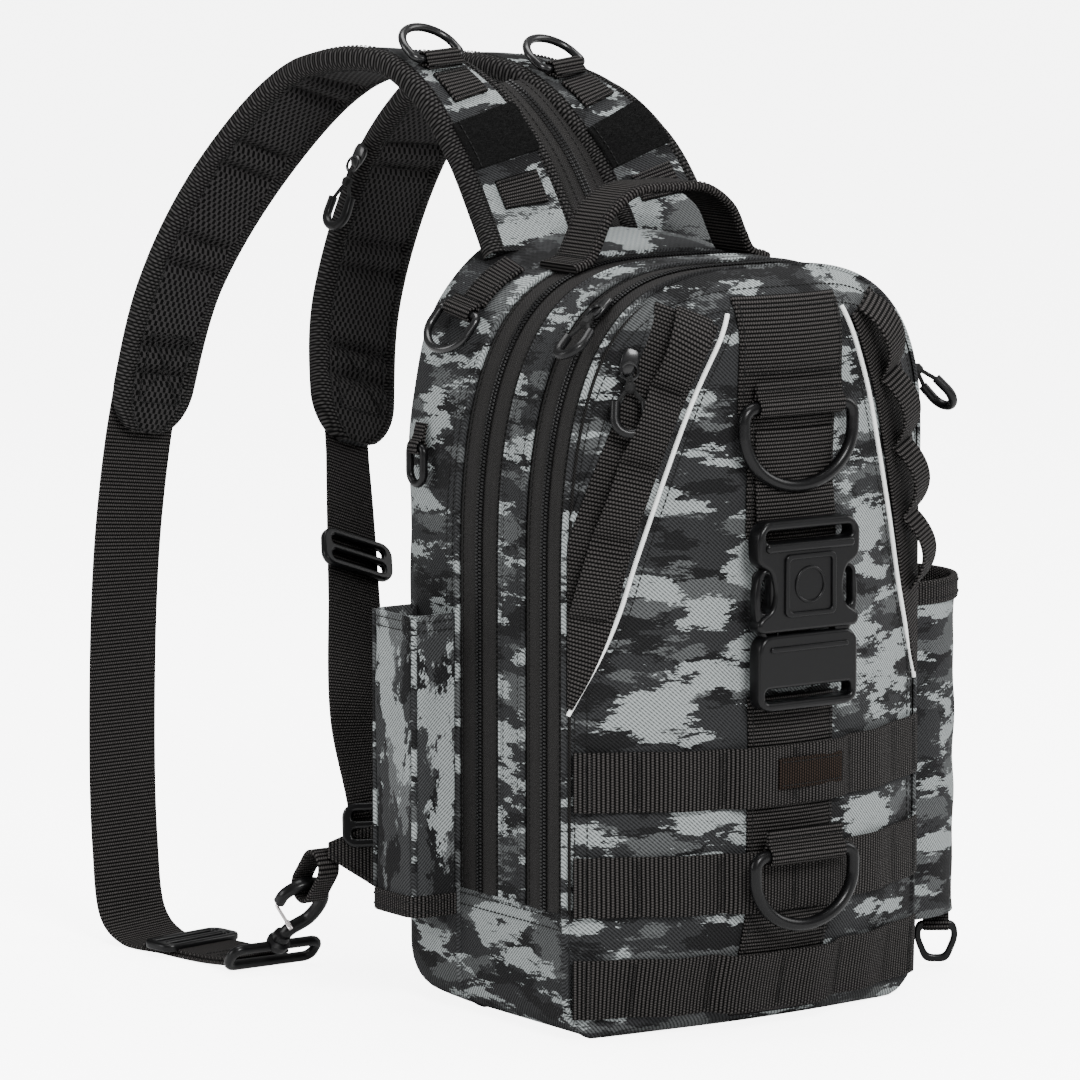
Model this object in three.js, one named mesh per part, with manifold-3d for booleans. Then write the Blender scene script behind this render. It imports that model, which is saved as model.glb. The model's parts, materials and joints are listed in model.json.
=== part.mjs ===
// Convertible fishing sling backpack: a hollow zipped body with two side pockets, webbing on its front,
// a carry handle, and two padded shoulder straps that are zipped together over their first stretch.
// Millimetres, +Z up. The bag stands on Z = 0, its front faces -Y, and its left side is at -X.
import * as THREE from "three";
import { mergeVertices } from "three/addons/utils/BufferGeometryUtils.js";
import Module from "manifold-3d";

const wasm = await Module();
wasm.setup();

// Body
const HEIGHT = 378;
const FRONT_HEIGHT = 366;
const HALF_WIDTH = 105;
const SPRING_Z = 230; // the sides turn into the top arch here
const ARCH_POWER = 3.2;
const ARCH_STEPS = 18;
const BASE_CORNER = 22;
const CORNER_SHARE = 0.8; // most of a small outline that a base corner takes
const CORNER_STEPS = 3;
const CLOTH = 2.4;
const GAP = 0.35; // between pieces that touch
const ZIP_END_Z = 62;
const SIDE_STEPS = 6;

// Depths of the body's bands, from the front edge to the back
const FRONT_EDGE_Y = -84;
const FRONT_ZIP_BACK_Y = -52;
const MAIN_ZIP_FRONT_Y = -31;
const REAR_EDGE_Y = 4;
const LEAN = { most: 10, fromZ: 225 }; // the bands lean towards the front over the top
const REAR_ROWS = [
  { y: REAR_EDGE_Y, inset: 0, top: FRONT_HEIGHT, lean: 1 },
  { y: 30, inset: 0, top: 374, lean: 0.4 },
  { y: 48, inset: 2, top: HEIGHT, lean: 0 },
  { y: 61, inset: 10, top: HEIGHT, lean: 0 },
  { y: 69, inset: 24, top: HEIGHT, lean: 0 },
  { y: 72, inset: 44, top: HEIGHT, lean: 0 },
];

// Front panel
const BULGE = 40;
const LOW_SWELL = { share: 0.62, fullZ: 70 };
const TOP_EASE = { startZ: 190, endZ: 345, loss: 0.2 };
const TOP_ROLL_Z = 330;
const PANEL_SHARES = [1, 0.985, 0.94, 0.86, 0.74, 0.6, 0.44, 0.26];
const PANEL_CENTRE_Z = 190;

// Zips
const TAPE = 1.6;
const TAPE_SINK = 0.5;
const TEETH_HALF = 3;
const TEETH_RISE = 1.5;
const TEETH_SLOPE = 0.6;

// Webbing
const WEB = 1.8;
const LIFT = 1; // webbing over the cloth that carries it
const SPARE = 0.5; // more room where the cloth curves most
const MOLLE = { width: 29, rows: [26, 75.5, 126], half: 101, pitch: 38, puff: 1.6, steps: 20 };
const MOLLE_OVER = { lift: 2.7, end: 12, ramp: 8 }; // the rows rise over the centre webbing
const CENTRE = { wide: 60, narrow: 50, top: 353, loopZ: 303, bottom: 9, ringRoom: 9 };
const V_ROUTE = [
  { x: 51, z: 347 },
  { x: 67, z: 312 },
  { x: 82, z: 270 },
  { x: 92, z: 232 },
  { x: 98, z: 205 },
];
const V_WIDTH = 26;
const V_STEPS = 12;
const DAISY = { width: 17, puff: 5, loops: 4, shift: 2, lift: 1.8, steps: 24 };
const PIPING = { width: 3.4, out: 17.4, foot: [{ x: 91, z: 185 }, { x: 100, z: 167 }] };

// Side-release buckle on the centre webbing
const BUCKLE = { z: 204, width: 60, height: 62, thick: 11, bar: 15, lift: 4.4, above: 10, below: 14.9 };
const BUCKLE_FORM = { socketShare: 0.62, corner: 5.5, bevel: 1, slot: 6, rim: 7.5, slotCorner: 1.5 };

const RING_SIDES = 8;
const SMALL_RING_SIDES = 6;
// Plastic D-rings: bar length inside the ring, depth, wire radius, and the tab that holds the bar
const FRONT_RINGS = [
  { name: "upper", z: CENTRE.loopZ, bar: 58, depth: 40, wire: 3.1, sides: RING_SIDES, tab: 50, lift: 5.5 },
  { name: "lower", z: 89, bar: 52, depth: 38, wire: 3.1, sides: RING_SIDES, tab: 44, lift: 11.2 },
];
const SHOULDER_RING = { bar: 25, depth: 24, wire: 2.1, tab: 20, tail: 7, seat: 1.2 };
const SHOULDER_WEB = { start: { x: -64, y: 14 }, end: { x: -85, y: 18 }, width: 18, over: 3, steps: 8 };
const STRAP_RING = { bar: 30, depth: 24, wire: 2.1, tab: 25, tail: 6, lean: 0.24, seat: 0.5 };
const D_FORM = { bar: 0.8, corner: 0.2, drop: 0.35, round: 0.85, steps: 8 }; // shares of the round radius
const FRONT_TAIL = 12;
const BORE_PLAY = 0.45;
const TAB_WALL = 1.3;

// Side pockets, in plan
const SLEEVE = { frontY: 6, backY: 44, out: 25, corner: 8, lowZ: 48, highZ: 196 };
const SLEEVE_HEM = { height: 11, inside: 0.4, outside: 0.8 };
const BOTTLE = { y: -24, radius: 38, out: 25, lowZ: 30, highZ: 188, steps: 12 };
const BOTTLE_HEM = { height: 12, inside: 0.6, outside: 1 };

// Handle
const HANDLE = { y: -13, half: 43, rise: 30, width: 30, thick: 4.5, foot: 15, seat: 1.8, steps: 26 };
// Left half of the handle: place along it from its foot's inner edge, and height over the bag
const HANDLE_ROWS = [
  { in: -HANDLE.foot, lift: 0 },
  { in: -5, lift: 0.6 },
  { in: 0, lift: 8 },
  { in: 7, lift: 20 },
  { in: 22, lift: HANDLE.rise - 1 },
  { in: HANDLE.half, lift: HANDLE.rise },
];

// Straps: the two halves share a spine while they are zipped together, then each has a tail of its own.
// A row for each station: width of a half, yaw turns that width about Z, and tilt lowers its right edge.
const PAD = 11;
const PAD_EDGE = { nip: 0.26, flat: 1.2, shoulder: 0.7 }; // shares of half its thickness
const HALF_SEAM = 12.4;
const SPINE = [
  { x: 0, y: 24, z: 352, width: 57, yaw: 0, tilt: 0 },
  { x: 0, y: 44, z: 384, width: 57, yaw: 0, tilt: 0 },
  { x: -7, y: 58, z: 412, width: 55, yaw: 0, tilt: 2 },
  { x: -18, y: 78, z: 437, width: 52, yaw: 0, tilt: 5 },
  { x: -27, y: 106, z: 450, width: 50, yaw: 0, tilt: 6 },
];
const OUTER_TAIL = [
  { x: -76, y: 158, z: 445, width: 52, yaw: -6, tilt: 4 },
  { x: -97, y: 202, z: 400, width: 51, yaw: -6, tilt: 0 },
  { x: -120, y: 230, z: 338, width: 47, yaw: -2, tilt: 0 },
  { x: -134, y: 244, z: 262, width: 45, yaw: 0, tilt: 0 },
];
const INNER_TAIL = [
  { x: 8, y: 158, z: 444, width: 52, yaw: 0, tilt: 3 },
  { x: 2, y: 208, z: 402, width: 55, yaw: 2, tilt: 0 },
  { x: -14, y: 230, z: 322, width: 56, yaw: 8, tilt: 0 },
  { x: -30, y: 210, z: 252, width: 54, yaw: 16, tilt: 0 },
];
const STRAP_STEPS = 32;
const STRAP_ZIP = { half: 9.6, low: 1.5, high: 4.6, last: 13 };
// Stations of the sewn-on pieces along a strap
const PATCH = { first: 7, last: 10, thick: 2.2, width: 42 };
const STRAP_LOOP = { first: 4, last: 6, thick: 2.4, width: 26 };
const RING_BAND = { first: 11, last: 13, thick: 2, width: 24, rise: 0.2 };
const RING_STATION = 14;
const SEWN_GAP = 0.95; // the pads twist under what is sewn on them

// Webbing of the straps, each a row for a station of its centre line
const STRAP_WEB = { outer: 39, inner: 30, thick: 2.2 };
const OUTER_WEB = [
  { x: -134.3, y: 244.4, z: 260.2, yaw: 0 },
  { x: -140, y: 251, z: 200, yaw: 0 },
  { x: -141, y: 256, z: 120, yaw: 0 },
  { x: -140, y: 256, z: 50, yaw: 0 },
  { x: -139, y: 250, z: 13, yaw: 0 },
  { x: -137, y: 236, z: 3.2, yaw: 0 },
  { x: -131, y: 205, z: 1.7, yaw: 0 },
  { x: -126.5, y: 174, z: 1.7, yaw: 0 },
  { x: -126, y: 146.8, z: 4.4, yaw: 0 },
];
const INNER_WEB = [
  { x: -30.7, y: 208.8, z: 249.6, yaw: 16 },
  { x: -60, y: 163, z: 176, yaw: 4 },
  { x: -86, y: 119, z: 126, yaw: -22 },
  { x: -102.4, y: 77.2, z: 86, yaw: -42 },
  { x: -104.7, y: 74.6, z: 58, yaw: -45.6 },
];
const GLIDE = { over: 12, play: 2, depth: 22, rim: 5, thick: 4, corner: 4 };
// Steps along each webbing, and the step that its glide sits on
const WEB_STEPS = { outer: { steps: 28, glide: 21 }, inner: { steps: 12, glide: 2 } };

// Snap hook that ties the outer strap to the bag, drawn in its own plane: u across, v towards the bag
const HOOK = { x: -125, y: 140, z: 9, pitch: 50, wire: 2.6, jawWire: 3.2, jawSteps: 15 };
const HOOK_LOOP = { half: 25, depth: 12, nip: 3 };
const HOOK_JAW = [
  { u: 0, v: 7 },
  { u: 2, v: 17 },
  { u: 11, v: 26 },
  { u: 13, v: 40 },
  { u: 7, v: 51 },
  { u: -4, v: 53 },
  { u: -12, v: 47 },
  { u: -13, v: 41 },
];
const GATE = { foot: { u: 0.9, v: 21.3 }, head: { u: -12.6, v: 37.6 }, wire: 2 };
const ANCHOR = { u: 1, v: 52, radius: 6.6, straight: 14, width: 12, thick: 2.4 };
const WING = { x: -90, y: 55, lowZ: 36, highZ: 96, tipHalf: 4, thick: 3, reach: 3.2 };

// Triangular ring below the bottle pocket, and the ring that ties a rod to the bag's left side
const BASE_RING = { x: 150, y: -46, z: 23, turn: -35, half: 10, drop: 18, wire: 1.7, tab: 13 };
const ROD_TIE = { y: 34, z: 274, half: 6, drop: 24, wire: 2, tab: 8, tail: 12, out: 3.5, lean: 0.26 };

const COLOURS = {
  camo: { color: 0x3a3e40, roughness: 0.9, metalness: 0 },
  webbing: { color: 0x1b1a1a, roughness: 0.85, metalness: 0 },
  mesh: { color: 0x161616, roughness: 0.95, metalness: 0 },
  zip: { color: 0x1a1816, roughness: 0.8, metalness: 0 },
  plastic: { color: 0x141414, roughness: 0.45, metalness: 0 },
  pile: { color: 0x121212, roughness: 1, metalness: 0 },
  reflective: { color: 0xc9cac8, roughness: 0.4, metalness: 0 },
  steel: { color: 0x8d8a86, roughness: 0.35, metalness: 1 },
};

const backpack = new THREE.Group();
const vec = (x, y, z) => new THREE.Vector3(x, y, z);
const clamp01 = (a) => Math.min(1, Math.max(0, a));
const smooth = (a) => a * a * (3 - 2 * a);

// Adds one named piece with its finish.
function piece(name, finish, geometry, frame) {
  const mesh = new THREE.Mesh(geometry, new THREE.MeshStandardMaterial(COLOURS[finish]));
  mesh.name = name;
  if (frame) {
    mesh.applyMatrix4(frame);
  }
  backpack.add(mesh);
  return mesh;
}

// A closed geometry from points and triangles, turned so that its faces point out.
function closedGeometry(points, triangles) {
  let volume = 0;
  for (let i = 0; i < triangles.length; i += 3) {
    const [a, b, c] = [points[triangles[i]], points[triangles[i + 1]], points[triangles[i + 2]]];
    volume += a.dot(b.clone().cross(c));
  }
  const index = volume < 0 ? triangles.slice().reverse() : triangles;
  const geometry = new THREE.BufferGeometry();
  geometry.setAttribute("position", new THREE.Float32BufferAttribute(points.flatMap((p) => p.toArray()), 3));
  geometry.setIndex(index);
  geometry.computeVertexNormals();
  return geometry;
}

// The middle of a ring of points.
function middle(ring) {
  return ring.reduce((sum, p) => sum.add(p), vec(0, 0, 0)).divideScalar(ring.length);
}

// Triangles between two rings that start at the given places in the list of points.
function bridge(triangles, a, b, count) {
  for (let i = 0; i < count; i++) {
    const j = (i + 1) % count;
    triangles.push(a + i, b + i, b + j, a + i, b + j, a + j);
  }
}

// Triangles that close a ring of points, as places in the ring.
function capTriangles(ring) {
  const centre = middle(ring);
  const arms = ring.map((p) => p.clone().sub(centre));
  const normal = vec(0, 0, 0);
  arms.forEach((arm, i) => normal.add(arm.clone().cross(arms[(i + 1) % arms.length])));
  normal.normalize();
  const across = arms[1].clone().sub(arms[0]);
  across.addScaledVector(normal, -across.dot(normal)).normalize();
  const rise = normal.clone().cross(across);
  const flat = arms.map((arm) => new THREE.Vector2(arm.dot(across), arm.dot(rise)));
  return THREE.ShapeUtils.triangulateShape(flat, []);
}

// A solid through a list of rings, closed by a cap at each end, or back to its first ring.
function loft(rings, loop = false) {
  const count = rings[0].length;
  const points = rings.flat();
  const triangles = [];
  const spans = loop ? rings.length : rings.length - 1;
  for (let r = 0; r < spans; r++) {
    bridge(triangles, r * count, ((r + 1) % rings.length) * count, count);
  }
  if (!loop) {
    const end = (rings.length - 1) * count;
    capTriangles(rings[0]).forEach(([a, b, c]) => triangles.push(a, b, c));
    capTriangles(rings.at(-1)).forEach(([a, b, c]) => triangles.push(end + c, end + b, end + a));
  }
  return closedGeometry(points, triangles);
}

// A hollow tub: outer and inner rings run from its open rim to its floor.
function tub(outer, inner) {
  const rings = [...outer.slice().reverse(), ...inner];
  return loft(rings);
}

// The height of the body outline over a place across it.
function outlineZ(x, inset = 0, top = FRONT_HEIGHT) {
  const share = clamp01(Math.abs(x) / (HALF_WIDTH - inset));
  return SPRING_Z + (top - SPRING_Z - inset) * (1 - share ** ARCH_POWER) ** (1 / ARCH_POWER);
}

// Half the width of the front outline at a height.
function halfWidthAt(z) {
  const up = clamp01((z - SPRING_Z) / (FRONT_HEIGHT - SPRING_Z));
  return HALF_WIDTH * (1 - up ** ARCH_POWER) ** (1 / ARCH_POWER);
}

// How far the bands lean forward at a height.
const leanAt = (z) => LEAN.most * smooth(clamp01((z - LEAN.fromZ) / (FRONT_HEIGHT - LEAN.fromZ)));

// The outline from the left zip end over the top to the right zip end, seen from the front.
function archLine(inset = 0, top = FRONT_HEIGHT) {
  const half = HALF_WIDTH - inset;
  const rise = top - SPRING_Z - inset;
  const step = (SPRING_Z - ZIP_END_Z) / SIDE_STEPS;
  const side = Array.from({ length: SIDE_STEPS }, (_, i) => ZIP_END_Z + step * i);
  const line = side.map((z) => ({ x: -half, z }));
  for (let i = 0; i <= ARCH_STEPS; i++) {
    const turn = Math.PI * (1 - i / ARCH_STEPS);
    const across = Math.cos(turn);
    const x = half * Math.sign(across) * Math.abs(across) ** (2 / ARCH_POWER);
    line.push({ x, z: SPRING_Z + rise * Math.max(0, Math.sin(turn)) ** (2 / ARCH_POWER) });
  }
  side.reverse().forEach((z) => line.push({ x: half, z }));
  return line;
}

// The outline from the right zip end under the base to the left zip end.
function baseLine(inset = 0) {
  const half = HALF_WIDTH - inset;
  const corner = Math.min(BASE_CORNER, (ZIP_END_Z - inset) * CORNER_SHARE);
  const right = [{ x: half, z: ZIP_END_Z }];
  for (let i = 0; i <= CORNER_STEPS; i++) {
    const turn = ((Math.PI / 2) * i) / CORNER_STEPS;
    const x = half - corner * (1 - Math.cos(turn));
    right.push({ x, z: inset + corner * (1 - Math.sin(turn)) });
  }
  const left = right.map(({ x, z }) => ({ x: -x, z })).reverse();
  return [...right, ...left];
}

const outline = (inset, top) => [...archLine(inset, top), ...baseLine(inset).slice(1, -1)];

// A ring of the body at a depth.
function bodyRing(y, inset = 0, top = FRONT_HEIGHT, lean = 1) {
  return outline(inset, top).map(({ x, z }) => vec(x, y - lean * leanAt(z), z));
}

// Depth of the front panel's bulging face.
function frontY(x, z) {
  const half = Math.max(halfWidthAt(z), 1);
  const across = Math.max(0, 1 - (x / half) ** 2);
  const low = LOW_SWELL.share + (1 - LOW_SWELL.share) * smooth(clamp01(z / LOW_SWELL.fullZ));
  const ease = smooth(clamp01((z - TOP_EASE.startZ) / (TOP_EASE.endZ - TOP_EASE.startZ)));
  const roll = Math.sqrt(1 - clamp01((z - TOP_ROLL_Z) / (FRONT_HEIGHT - TOP_ROLL_Z)) ** 2);
  return FRONT_EDGE_Y - leanAt(z) - BULGE * across * low * (1 - TOP_EASE.loss * ease) * roll;
}

// Height of the body's top over a place in plan, between its front edge and its back.
function topZ(x, y) {
  const rows = [{ y: FRONT_EDGE_Y, inset: 0, top: FRONT_HEIGHT, lean: 1 }, ...REAR_ROWS];
  const line = rows.map((row) => {
    const z = outlineZ(x, row.inset, row.top);
    return { y: row.y - row.lean * leanAt(z), z };
  });
  const after = Math.max(1, line.findIndex((point) => point.y >= y));
  const [low, high] = [line[after - 1], line[after]];
  return THREE.MathUtils.lerp(low.z, high.z, clamp01((y - low.y) / (high.y - low.y)));
}

// A solid swept through frames: each has a place p, a width direction side and a thickness direction up.
function sweep(frames, section, loop = false) {
  const rings = frames.map((f, i) =>
    section(f, i).map(([a, b]) => f.p.clone().addScaledVector(f.side, a).addScaledVector(f.up, b)),
  );
  return loft(rings, loop);
}

// A flat strip's section: its thickness runs from low to high along up.
const stripSection = (width, low, high) => () => [
  [-width / 2, low],
  [width / 2, low],
  [width / 2, high],
  [-width / 2, high],
];

// A padded strap's section with rounded edges.
function padSection(width, thick) {
  const [w, t] = [width / 2, thick / 2];
  const corner = { a: w - t * PAD_EDGE.nip, b: t * PAD_EDGE.shoulder };
  const flat = w - t * PAD_EDGE.flat;
  return [
    [-w, 0],
    [-corner.a, -corner.b],
    [-flat, -t],
    [flat, -t],
    [corner.a, -corner.b],
    [w, 0],
    [corner.a, corner.b],
    [flat, t],
    [-flat, t],
    [-corner.a, corner.b],
  ];
}

// A round wire's section.
const wireSection = (radius, sides = RING_SIDES) => () =>
  Array.from({ length: sides }, (_, i) => {
    const turn = (2 * Math.PI * (i + 0.5)) / sides;
    return [radius * Math.cos(turn), radius * Math.sin(turn)];
  });

// A band of the body along an outline: its section is a list of depth and height over the outline.
function outlineBand(line, section) {
  const rings = line.map(({ x, z }, i) => {
    const before = line[Math.max(0, i - 1)];
    const after = line[Math.min(line.length - 1, i + 1)];
    const along = new THREE.Vector2(after.x - before.x, after.z - before.z).normalize();
    return section.map(([y, out]) => vec(x - along.y * out, y - leanAt(z), z + along.x * out));
  });
  return loft(rings);
}

// The width direction of a strap from its yaw about Z and its tilt.
function sideOf({ yaw, tilt }) {
  const [turn, fall] = [THREE.MathUtils.degToRad(yaw), THREE.MathUtils.degToRad(tilt)];
  return vec(Math.cos(turn) * Math.cos(fall), Math.sin(turn) * Math.cos(fall), -Math.sin(fall));
}

// Frames along a route of rows x, y, z with a yaw and a tilt for the width direction.
function routeFrames(rows, steps) {
  const curve = new THREE.CatmullRomCurve3(rows.map((r) => vec(r.x, r.y, r.z)), false, "centripetal");
  return Array.from({ length: steps + 1 }, (_, i) => {
    const share = i / steps;
    const p = curve.getPoint(share);
    const along = curve.getTangent(share);
    const place = share * (rows.length - 1);
    const low = Math.min(rows.length - 2, Math.floor(place));
    const mix = (key) => THREE.MathUtils.lerp(rows[low][key] ?? 0, rows[low + 1][key] ?? 0, place - low);
    const side = sideOf({ yaw: mix("yaw"), tilt: mix("tilt") });
    side.addScaledVector(along, -side.dot(along)).normalize();
    return { p, along, side, up: side.clone().cross(along).normalize(), width: mix("width"), share };
  });
}

// Webbing sewn flat on the front panel along a route of x, z: it follows the bulge across its width too.
function frontStrip(route, width, thick, lift) {
  const rings = route.map(({ x, z }, i) => {
    const before = route[Math.max(0, i - 1)];
    const after = route[Math.min(route.length - 1, i + 1)];
    const along = new THREE.Vector2(after.x - before.x, after.z - before.z).normalize();
    const raise = typeof lift === "function" ? lift(i / (route.length - 1), x) : lift;
    const at = (share, out) => {
      const px = x + along.y * width * share;
      const pz = z - along.x * width * share;
      return vec(px, frontY(px, pz) - out, pz);
    };
    const shares = [-0.5, 0, 0.5];
    const under = shares.map((s) => at(s, raise));
    const over = shares.map((s) => at(s, raise + thick)).reverse();
    return [...under, ...over];
  });
  return loft(rings);
}

// Evenly spaced places of a polyline route.
function resample(route, steps) {
  const curve = new THREE.CatmullRomCurve3(route.map((r) => vec(r.x, 0, r.z)), false, "centripetal");
  return curve.getSpacedPoints(steps).map((p) => ({ x: p.x, z: p.z }));
}

const straightDown = (top, bottom, steps, x = 0) =>
  Array.from({ length: steps + 1 }, (_, i) => ({ x, z: top + ((bottom - top) * i) / steps }));

// Solids for cutting and joining.
function solid(geometry) {
  const bare = new THREE.BufferGeometry();
  bare.setAttribute("position", geometry.getAttribute("position"));
  bare.setIndex(geometry.index);
  const merged = mergeVertices(bare, 1e-4);
  const vertProperties = new Float32Array(merged.getAttribute("position").array);
  const triVerts = new Uint32Array(merged.index.array);
  return new wasm.Manifold(new wasm.Mesh({ numProp: 3, vertProperties, triVerts }));
}

function geometryOf(body) {
  const { vertProperties, triVerts } = body.getMesh();
  const geometry = new THREE.BufferGeometry();
  geometry.setAttribute("position", new THREE.Float32BufferAttribute(vertProperties, 3));
  geometry.setIndex(Array.from(triVerts));
  geometry.computeVertexNormals();
  return geometry;
}

const joined = (...geometries) => geometryOf(geometries.map(solid).reduce((a, b) => a.add(b)));
const cutBy = (geometry, tool) => geometryOf(solid(geometry).subtract(solid(tool)));

// The whole body without its hollow, grown by a clearance: it trims what is sewn to it.
function bodyBlank(grow) {
  const rear = REAR_ROWS.map(({ y, inset, top, lean }, i) =>
    bodyRing(i > 2 ? y + grow : y, inset - grow, top, lean),
  );
  return loft([bodyRing(FRONT_EDGE_Y, -grow), ...rear]);
}

// Rear shell, back pad, base and the arched bands between the compartments
function buildBody() {
  const outer = REAR_ROWS.map((row) => bodyRing(row.y, row.inset, row.top, row.lean));
  const inner = REAR_ROWS.map(({ y, inset, top, lean }, i) =>
    bodyRing(i > 2 ? y - CLOTH : y, inset + CLOTH, top, lean),
  );
  piece("rear_shell", "camo", tub(outer, inner));

  const padRows = [
    { out: GAP, inset: 47 },
    { out: 6, inset: 47 },
    { out: 9, inset: 55 },
  ];
  const padBack = REAR_ROWS.at(-1).y;
  piece("back_pad", "mesh", loft(padRows.map((row) => bodyRing(padBack + row.out, row.inset, HEIGHT, 0))));

  const panel = (share, back) =>
    outline().map(({ x, z }) => {
      const px = x * share;
      const pz = PANEL_CENTRE_Z + (z - PANEL_CENTRE_Z) * share;
      return vec(px, share === 1 ? FRONT_EDGE_Y - leanAt(z) : frontY(px, pz) + back, pz);
    });
  const panelOuter = PANEL_SHARES.map((share) => panel(share, 0));
  const inShare = 1 - CLOTH / HALF_WIDTH;
  const behind = PANEL_SHARES.slice(1).map((share) => panel(share * inShare, CLOTH));
  const panelInner = [bodyRing(FRONT_EDGE_Y, CLOTH), ...behind];
  piece("front_panel", "camo", tub(panelOuter, panelInner));

  const flat = (from, to) => [
    [from, -CLOTH],
    [to, -CLOTH],
    [to, 0],
    [from, 0],
  ];
  piece("base_gusset", "camo", outlineBand(baseLine(), flat(FRONT_EDGE_Y + GAP, REAR_EDGE_Y - GAP)));

  const arch = archLine();
  arch[0].z += GAP;
  arch.at(-1).z += GAP;
  piece("gusset_strip", "camo", outlineBand(arch, flat(FRONT_ZIP_BACK_Y + GAP, MAIN_ZIP_FRONT_Y - GAP)));

  const tapes = [
    { name: "front_zip", from: FRONT_EDGE_Y + GAP, to: FRONT_ZIP_BACK_Y },
    { name: "main_zip", from: MAIN_ZIP_FRONT_Y, to: REAR_EDGE_Y - GAP },
  ];
  tapes.forEach(({ name, from, to }) => {
    const mid = (from + to) / 2;
    const crest = TEETH_HALF - TEETH_SLOPE;
    const section = [
      [from, -TAPE_SINK - TAPE],
      [to, -TAPE_SINK - TAPE],
      [to, -TAPE_SINK],
      [mid + TEETH_HALF, -TAPE_SINK],
      [mid + crest, TEETH_RISE - TAPE_SINK],
      [mid - crest, TEETH_RISE - TAPE_SINK],
      [mid - TEETH_HALF, -TAPE_SINK],
      [from, -TAPE_SINK],
    ];
    piece(name, "zip", outlineBand(arch, section));
  });
}

// A pocket wall that stands out of the body's side: a strip bent along a plan route
function pocketWall(plan, lowZ, highZ, low, high) {
  const frames = plan.map(({ x, y }, i) => {
    const before = plan[Math.max(0, i - 1)];
    const after = plan[Math.min(plan.length - 1, i + 1)];
    const along = vec(after.x - before.x, after.y - before.y, 0).normalize();
    return { p: vec(x, y, (lowZ + highZ) / 2), side: vec(0, 0, 1), up: vec(-along.y, along.x, 0) };
  });
  return sweep(frames, stripSection(highZ - lowZ, low, high));
}

// The rod sleeve's plan, from its front foot round to its back foot
function sleevePlan(foot) {
  const { frontY: front, backY: back, out, corner } = SLEEVE;
  const wallX = -HALF_WIDTH - out;
  const plan = [{ x: -HALF_WIDTH - foot, y: front }];
  const corners = [
    { x: wallX + corner, y: front + corner, from: -Math.PI / 2 },
    { x: wallX + corner, y: back - corner, from: Math.PI },
  ];
  corners.forEach(({ x, y, from }) => {
    for (let i = 0; i <= CORNER_STEPS; i++) {
      const turn = from - ((Math.PI / 2) * i) / CORNER_STEPS;
      plan.push({ x: x + corner * Math.cos(turn), y: y + corner * Math.sin(turn) });
    }
  });
  plan.push({ x: -HALF_WIDTH - foot, y: back });
  return plan;
}

// The bottle pocket's plan, a half round on two short legs
function bottlePlan(foot, radius) {
  const centreX = HALF_WIDTH + BOTTLE.out;
  const steps = BOTTLE.steps;
  const plan = [{ x: HALF_WIDTH + foot, y: BOTTLE.y + radius }];
  for (let i = 0; i <= steps; i++) {
    const turn = Math.PI / 2 - (Math.PI * i) / steps;
    plan.push({ x: centreX + radius * Math.cos(turn), y: BOTTLE.y + radius * Math.sin(turn) });
  }
  plan.push({ x: HALF_WIDTH + foot, y: BOTTLE.y - radius });
  return plan;
}

// A flat plate with a plan outline.
function plate(plan, lowZ, highZ) {
  return loft([lowZ, highZ].map((z) => plan.map(({ x, y }) => vec(x, y, z))));
}

function buildPockets() {
  const hem = ({ inside, outside }) => [-CLOTH - inside, outside];
  const sleeve = sleevePlan(GAP);
  const hemTop = SLEEVE.lowZ + SLEEVE_HEM.height;
  piece("rod_sleeve", "camo", pocketWall(sleeve, hemTop, SLEEVE.highZ, -CLOTH, 0));
  const sleeveHem = pocketWall(sleeve, SLEEVE.lowZ, hemTop - GAP, ...hem(SLEEVE_HEM));
  piece("rod_sleeve_hem", "webbing", sleeveHem);

  const bottle = bottlePlan(GAP, BOTTLE.radius);
  const wall = pocketWall(bottle, BOTTLE.lowZ, BOTTLE.highZ, -CLOTH, 0);
  const floor = plate(bottlePlan(GAP, BOTTLE.radius - CLOTH / 2), BOTTLE.lowZ, BOTTLE.lowZ + CLOTH);
  piece("bottle_pocket", "camo", joined(wall, floor));
  const mouth = BOTTLE.highZ + GAP;
  const bottleHem = pocketWall(bottle, mouth, mouth + BOTTLE_HEM.height, ...hem(BOTTLE_HEM));
  piece("bottle_pocket_hem", "webbing", bottleHem);
}

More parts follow.
